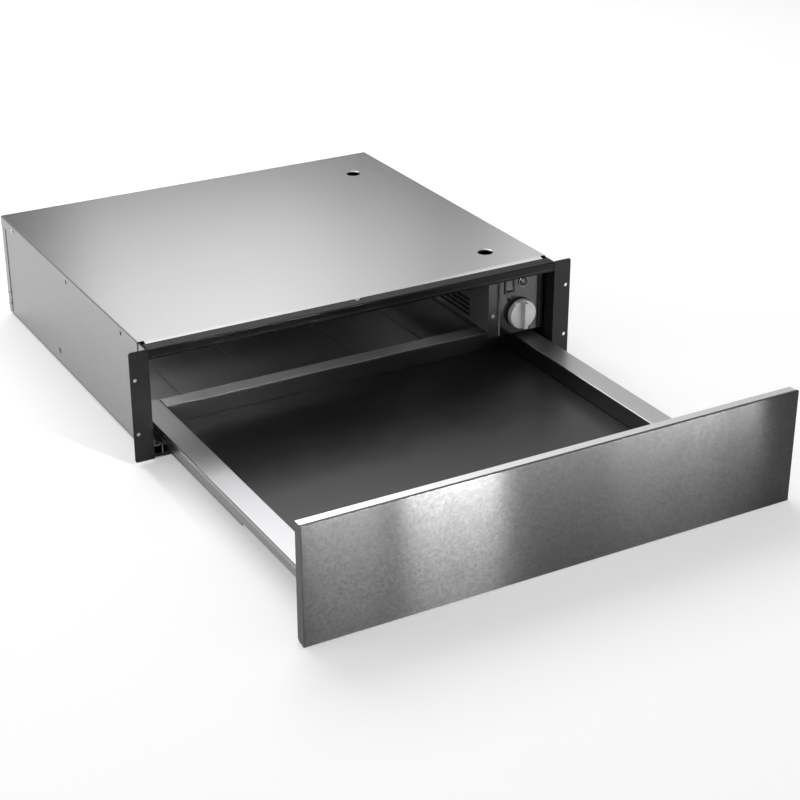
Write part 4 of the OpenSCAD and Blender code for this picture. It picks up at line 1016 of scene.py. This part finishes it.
@dataclass
class Runners:
    """Three-member runners with their ball cages."""

    rail_edge: float = 0.14 * MM
    ball_radius: float = 2.0 * MM
    ball_detail: int = 3
    ball_count: int = 6
    ball_pitch: float = 36.0 * MM
    outer_ball_height: float = 10.0 * MM
    inner_ball_height: float = 25.4 * MM
    strip: float = 0.7 * MM
    strip_edge: float = 0.12 * MM
    strip_offset: float = 0.45 * MM

    def build(self, shop: Workshop) -> None:
        """Makes and dresses rails, cages and balls.

        Args:
            shop: The workshop.
        """
        for side in Side:
            rails = (f"{side.value}_{member}_rail" for member in ("cabinet", "mid", "drawer"))
            shop.soften(RUNNER, *rails, edge=self.rail_edge)
            self.build_cage(shop, side, Stage.OUTER, self.outer_ball_height, 1.0)
            self.build_cage(shop, side, Stage.INNER, self.inner_ball_height, -1.0)

    def build_cage(self, shop: Workshop, side: Side, stage: Stage, ball_height: float,
                   opens: float) -> None:
        """Makes one cage strip with its two rows of balls.

        Args:
            shop: The workshop.
            side: The runner's side.
            stage: Which of its two cages.
            ball_height: Height of the balls' centres.
            opens: 1 where the strip opens upwards, -1 where it opens downwards.
        """
        node = f"{side.value}_{stage.value}_ball_cage"
        low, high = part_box(node)
        centre = (low + high) / 2
        ball_row = (high.x - low.x) / 2 - self.ball_radius
        leg = ball_row + self.strip_offset
        foot, top = (low.z, high.z) if opens > 0 else (high.z, low.z)
        run = (low.y, high.y)
        mesh = bmesh.new()
        self.add_wall(mesh, (centre.x - leg, centre.x + leg), run, (foot, foot + self.strip * opens))
        for row in (-1.0, 1.0):
            across = (centre.x + row * leg, centre.x + row * (leg - self.strip))
            self.add_wall(mesh, across, run, (foot, top))
        for row in (-1.0, 1.0):
            for number in range(self.ball_count):
                y = centre.y + (number - (self.ball_count - 1) / 2) * self.ball_pitch
                made = bmesh.ops.create_icosphere(
                    mesh, subdivisions=self.ball_detail, radius=self.ball_radius,
                    matrix=Matrix.Translation((centre.x + row * ball_row, y, ball_height)),
                )
                paint(made["verts"], 1)
        outward(mesh)
        shop.piece(node + "_dressed", mesh, f"{side.value}_{stage.value}_cage", "ball_steel", CAGE, BALL,
                   stands_for=(node,))

    def add_wall(self, mesh: Mesh, *spans: Span) -> None:
        """Adds one wall of a cage's strip.

        Args:
            mesh: The cage's mesh.
            spans: Two ends along X, Y and Z, in either order.
        """
        block(mesh, Vector([min(span) for span in spans]), Vector([max(span) for span in spans]),
              self.strip_edge)


@dataclass
class Drawer:
    """Sliding drawer: floor, sides, back profile, mat and front."""

    edge: float = 0.16 * MM
    soft_edge: float = 0.5 * MM
    carrier_edge: float = 0.25 * MM
    front_edge: float = 0.35 * MM
    screw_edge: float = 0.1 * MM

    def build(self, shop: Workshop) -> None:
        """Makes and dresses all pieces of the drawer.

        Args:
            shop: The workshop.
        """
        shop.soften(BAND, "left_drawer_side", "right_drawer_side", edge=self.edge, faced=TRAY)
        # The back profile's inner face and the rounding above it get the mat's dark rubber as painted
        # shade.
        shop.soften(PROFILE, "back_profile", edge=self.edge, faced=MAT_RUBBER_AND_SHADE, facing=PROFILE_SHADE_WAY)
        shop.keep(TRAY, "drawer_floor_pan")
        shop.soften(MAT_RUBBER_AND_SHADE, "drawer_mat", edge=self.soft_edge, steps=3)
        shop.soften(CARRIER, "front_carrier", edge=self.carrier_edge, faced=RIM)
        # The skin's upward faces get a dark painted shade along its top.
        shop.soften(FRONT, "front_skin", edge=self.front_edge, steps=3, faced=PAINTED_SHADE_EDGE)
        shop.soften(RUNNER, "left_fixing_bracket", "right_fixing_bracket", edge=self.edge)
        shop.soften(SCREW, "panel_screws", edge=self.screw_edge)
        shop.soften(SEAL, "panel_bumpers", edge=self.soft_edge, steps=3)


@dataclass
class PushLatch:
    """Push-to-open latch with its plunger and striker."""

    edge: float = 0.4 * MM

    def build(self, shop: Workshop) -> None:
        """Makes and dresses the latch.

        Args:
            shop: The workshop.
        """
        shop.soften(LATCH, "push_latch_body", "latch_striker", edge=self.edge)
        shop.soften(PLUNGER, "push_latch_plunger", edge=self.edge)


# Studio


# The low cards stand on this line before the front, and their tops stay below the front's top edge.
CARD_LINE = -1.077
CARD_LEVEL = 0.085
CARD_HEIGHT = 0.08
FRONT_LINE = -0.677

FULL_RISE: Span = (-90.0, 90.0)
FULL_ROUND: Span = (-180.0, 180.0)


@dataclass
class Lamp:
    """One soft box."""

    name: str
    place: Vector
    aim: Vector
    size: tuple[float, float]
    power: float
    spread: float = 180.0
    card: bool = False

    def build(self) -> None:
        """Adds the lamp; the camera sees no lamp itself, and a card shows in shiny surfaces alone."""
        data = bpy.data.lights.new(self.name, "AREA")
        data.spread = math.radians(self.spread)
        data.shape = "RECTANGLE"
        data.size, data.size_y = self.size
        data.energy = self.power
        item = bpy.data.objects.new(self.name, data)
        item.location = self.place
        item.rotation_euler = (self.aim - self.place).to_track_quat("-Z", "Y").to_euler()
        item.visible_camera = False
        item.visible_diffuse = not self.card
        bpy.context.scene.collection.objects.link(item)


def low_card(name: str, x: float, aim_x: float, width: float, power: float) -> Lamp:
    """Plans a low card before the drawer's front, which shows in its grain as one bright band.

    Args:
        name: Name of the lamp.
        x: Place of its middle along X.
        aim_x: Place along X on the front that it looks at.
        width: Width of the card.
        power: Power in watts.

    Returns:
        The lamp.
    """
    place, aim = Vector((x, CARD_LINE, CARD_LEVEL)), Vector((aim_x, FRONT_LINE, CARD_LEVEL))
    return Lamp(name, place, aim, (width, CARD_HEIGHT), power, card=True)


@dataclass
class Studio:
    """Floor, surroundings, lamps and camera.

    The levels are pairs of an angle in degrees and the strength of the surroundings there, or in
    zenith_shares the share that the zenith's strength has. The angle runs round about from behind the
    casing in compass_levels and skirting_levels, and upwards in the others.
    """

    camera_place: Vector = field(default_factory=lambda: Vector((-0.9442, -2.0081, 0.9712)))
    camera_turn: float = 29.49
    camera_dip: float = 25.72
    lens: float = 82.72
    sensor: float = 36.0
    camera_range: Span = (0.05, 60.0)
    floor_size: float = 30.0
    floor_gap: float = 0.2 * MM
    floor_glow: float = 0.34
    floor_greys: Span = (0.72, 0.73)
    floor_roughness: float = 0.9
    floor_scale: float = 3.0
    zenith: float = 0.5
    zenith_shares: Levels = ((34.0, 0.0), (60.0, 1.0))
    rise_levels: Levels = (
        (0.0, 0.15), (16.0, 0.14), (18.0, 0.22), (19.0, 0.42), (20.0, 0.7), (21.0, 0.9), (23.0, 1.0),
        (60.0, 1.0),
    )
    compass_levels: Levels = (
        (-180.0, 0.3), (-90.0, 0.7), (0.0, 0.6), (14.0, 0.3), (17.0, 0.35), (20.0, 1.08), (25.5, 1.16),
        (29.0, 0.85), (31.8, 0.52), (33.5, 1.05), (40.0, 0.9), (90.0, 0.5), (140.0, 0.2), (180.0, 0.3),
    )
    skirting_levels: Levels = (
        (-180.0, 0.5), (-70.0, 0.5), (-20.0, 0.1), (60.0, 0.1), (100.0, 0.5), (180.0, 0.5),
    )
    horizon_levels: Levels = ((0.0, 0.9), (6.0, 0.8), (12.0, 0.0))
    lamps: tuple[Lamp, ...] = (
        Lamp("overhead_box", Vector((0.1, 1.3, 2.3)), Vector((0.0, -0.3, 0.0)), (2.2, 1.8), 40.0),
        Lamp("left_box", Vector((-2.4, 0.3, 1.4)), Vector((-0.2, 0.0, 0.05)), (1.4, 1.4), 10.0),
        Lamp("cavity_beam", Vector((0.5, -1.9, 1.1)), Vector((-0.24, -0.08, 0.0)), (0.2, 0.2), 0.2,
             spread=12.0),
        low_card("front_card", 0.167, -0.07, 0.62, 8.0),
        low_card("streak_card", 0.072, -0.13, 0.12, 8.4),
        low_card("right_card", 0.394, 0.12, 0.14, 1.55),
        low_card("left_card", -0.082, -0.26, 0.1, 2.3),
        Lamp("cavity_card", Vector((-0.21, 0.0, 0.12)), Vector((-0.21, 0.0, 0.0)), (0.1, 0.3), 0.06,
             card=True),
        Lamp("louvre_card", Vector((0.04, 0.0, 0.08)), Vector((0.14, 0.0, 0.08)), (0.08, 0.02), 0.05,
             spread=70.0, card=True),
    )

    def build(self) -> None:
        """Builds the whole studio."""
        self.build_floor()
        self.build_surroundings()
        for lamp in self.lamps:
            lamp.build()
        self.build_camera()
        bpy.context.scene.view_settings.view_transform = "Standard"

    def build_floor(self) -> None:
        """Adds the pale floor just under the object."""
        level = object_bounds()[0].z - self.floor_gap
        mesh = bmesh.new()
        bmesh.ops.create_grid(mesh, x_segments=1, y_segments=1, size=self.floor_size / 2,
                              matrix=Matrix.Translation((0.0, 0.0, level)))
        data = bpy.data.meshes.new("floor")
        mesh.to_mesh(data)
        mesh.free()
        data.materials.append(self.floor_material())
        item = bpy.data.objects.new("floor", data)
        bpy.context.scene.collection.objects.link(item)
        item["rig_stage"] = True

    def floor_material(self) -> bpy.types.Material:
        """Makes the floor's pale paint, whose glow for camera, mirror and glass rays lifts it to white.

        Returns:
            The material.
        """
        board = Board("studio_floor")
        patches = board.noise(board.place, self.floor_scale)
        board.tones(patches, *(grey(level) for level in self.floor_greys))
        board.fix(Roughness=self.floor_roughness, Specular_IOR_Level=0.0, Emission_Color=WHITE)
        rays = board.add("ShaderNodeLightPath")
        seen = rays.outputs["Is Camera Ray"]
        for kind in ("Is Glossy Ray", "Is Transmission Ray"):
            seen = self.combined(board.tree, "MAXIMUM", seen, rays.outputs[kind])
        glow = board.add("ShaderNodeMath")
        glow.operation = "MULTIPLY"
        glow.inputs[1].default_value = self.floor_glow
        board.join(seen, glow.inputs[0])
        board.join(glow.outputs["Value"], board.shader.inputs["Emission Strength"])
        return board.material

    def build_surroundings(self) -> None:
        """Surrounds the scene with a soft studio: bright above, dim lower down, pale at the horizon."""
        world = bpy.data.worlds.new("studio")
        bpy.context.scene.world = world
        world.use_nodes = True
        tree = world.node_tree
        tree.nodes.clear()
        out = tree.nodes.new("ShaderNodeOutputWorld")
        light = tree.nodes.new("ShaderNodeBackground")
        coords = tree.nodes.new("ShaderNodeTexCoord")
        parts = tree.nodes.new("ShaderNodeSeparateXYZ")
        tree.links.new(coords.outputs["Generated"], parts.inputs[0])
        rise = self.angle(tree, "ARCSINE", FULL_RISE, parts.outputs["Z"])
        bearing = self.angle(tree, "ARCTAN2", FULL_ROUND, parts.outputs["X"], parts.outputs["Y"])
        height = self.levels(tree, rise, FULL_RISE, self.rise_levels)
        compass = self.levels(tree, bearing, FULL_ROUND, self.compass_levels)
        skirting = self.levels(tree, bearing, FULL_ROUND, self.skirting_levels)
        horizon = self.levels(tree, rise, FULL_RISE, self.horizon_levels)
        low = self.combined(tree, "MULTIPLY", height, compass)
        for floor in (skirting, horizon):
            low = self.combined(tree, "MAXIMUM", low, floor)
        total = tree.nodes.new("ShaderNodeMix")
        total.data_type = "FLOAT"
        tree.links.new(self.levels(tree, rise, FULL_RISE, self.zenith_shares), total.inputs["Factor"])
        tree.links.new(low, total.inputs["A"])
        total.inputs["B"].default_value = self.zenith
        tree.links.new(total.outputs["Result"], light.inputs["Strength"])
        light.inputs["Color"].default_value = WHITE
        tree.links.new(light.outputs["Background"], out.inputs["Surface"])

    def angle(self, tree: Tree, kind: str, limits: Span, *values: Socket) -> Socket:
        """Turns parts of a direction into an angle, scaled to run from 0 to 1.

        Args:
            tree: Node tree to add to.
            kind: The angle function, as a Math node names it.
            limits: Angles in degrees that give 0 and 1.
            values: What the function reads.

        Returns:
            The scaled angle.
        """
        node = tree.nodes.new("ShaderNodeMath")
        node.operation = kind
        for socket, value in zip(node.inputs, values):
            tree.links.new(value, socket)
        scale = tree.nodes.new("ShaderNodeMapRange")
        for name, limit in zip(("From Min", "From Max"), limits):
            scale.inputs[name].default_value = math.radians(limit)
        tree.links.new(node.outputs["Value"], scale.inputs["Value"])
        return scale.outputs["Result"]

    def levels(self, tree: Tree, value: Socket, limits: Span, steps: Levels) -> Socket:
        """Reads a level from a smooth curve over an angle.

        Args:
            tree: Node tree to add to.
            value: The angle, from 0 to 1.
            limits: Angles in degrees at 0 and 1.
            steps: Pairs of angle in degrees and level.

        Returns:
            The level.
        """
        low, high = limits
        ramp = tree.nodes.new("ShaderNodeValToRGB")
        ramp.color_ramp.interpolation = "EASE"
        marks = ramp.color_ramp.elements
        for at, level in steps[1:-1]:
            marks.new((at - low) / (high - low)).color = (level, level, level, 1.0)
        for mark, (at, level) in ((marks[0], steps[0]), (marks[len(marks) - 1], steps[-1])):
            mark.position = (at - low) / (high - low)
            mark.color = (level, level, level, 1.0)
        tree.links.new(value, ramp.inputs["Fac"])
        return ramp.outputs["Color"]

    def combined(self, tree: Tree, kind: str, first: Socket, second: Socket) -> Socket:
        """Combines two values by a Math node.

        Args:
            tree: Node tree to add to.
            kind: The operation, as the node names it.
            first: First value.
            second: Second value.

        Returns:
            The result.
        """
        node = tree.nodes.new("ShaderNodeMath")
        node.operation = kind
        tree.links.new(first, node.inputs[0])
        tree.links.new(second, node.inputs[1])
        return node.outputs["Value"]

    def build_camera(self) -> None:
        """Sets the camera where the photograph was taken from."""
        data = bpy.data.cameras.new("camera")
        data.lens = self.lens
        data.sensor_width = self.sensor
        data.clip_start, data.clip_end = self.camera_range
        item = bpy.data.objects.new("camera", data)
        item.location = self.camera_place
        item.rotation_euler = (math.radians(90.0 - self.camera_dip), 0.0, math.radians(-self.camera_turn))
        bpy.context.scene.collection.objects.link(item)
        bpy.context.scene.camera = item


def main() -> None:
    """Builds the pieces in order, then the studio."""
    logging.basicConfig(level=logging.INFO, format="%(message)s")
    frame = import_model()
    shop = Workshop(frame)
    for part in (Casing(), Controls(), AirHeater(), Runners(), Drawer(), PushLatch()):
        LOG.info("%s", type(part).__name__)
        part.build(shop)
    Studio().build()


if __name__ == "__main__":
    main()
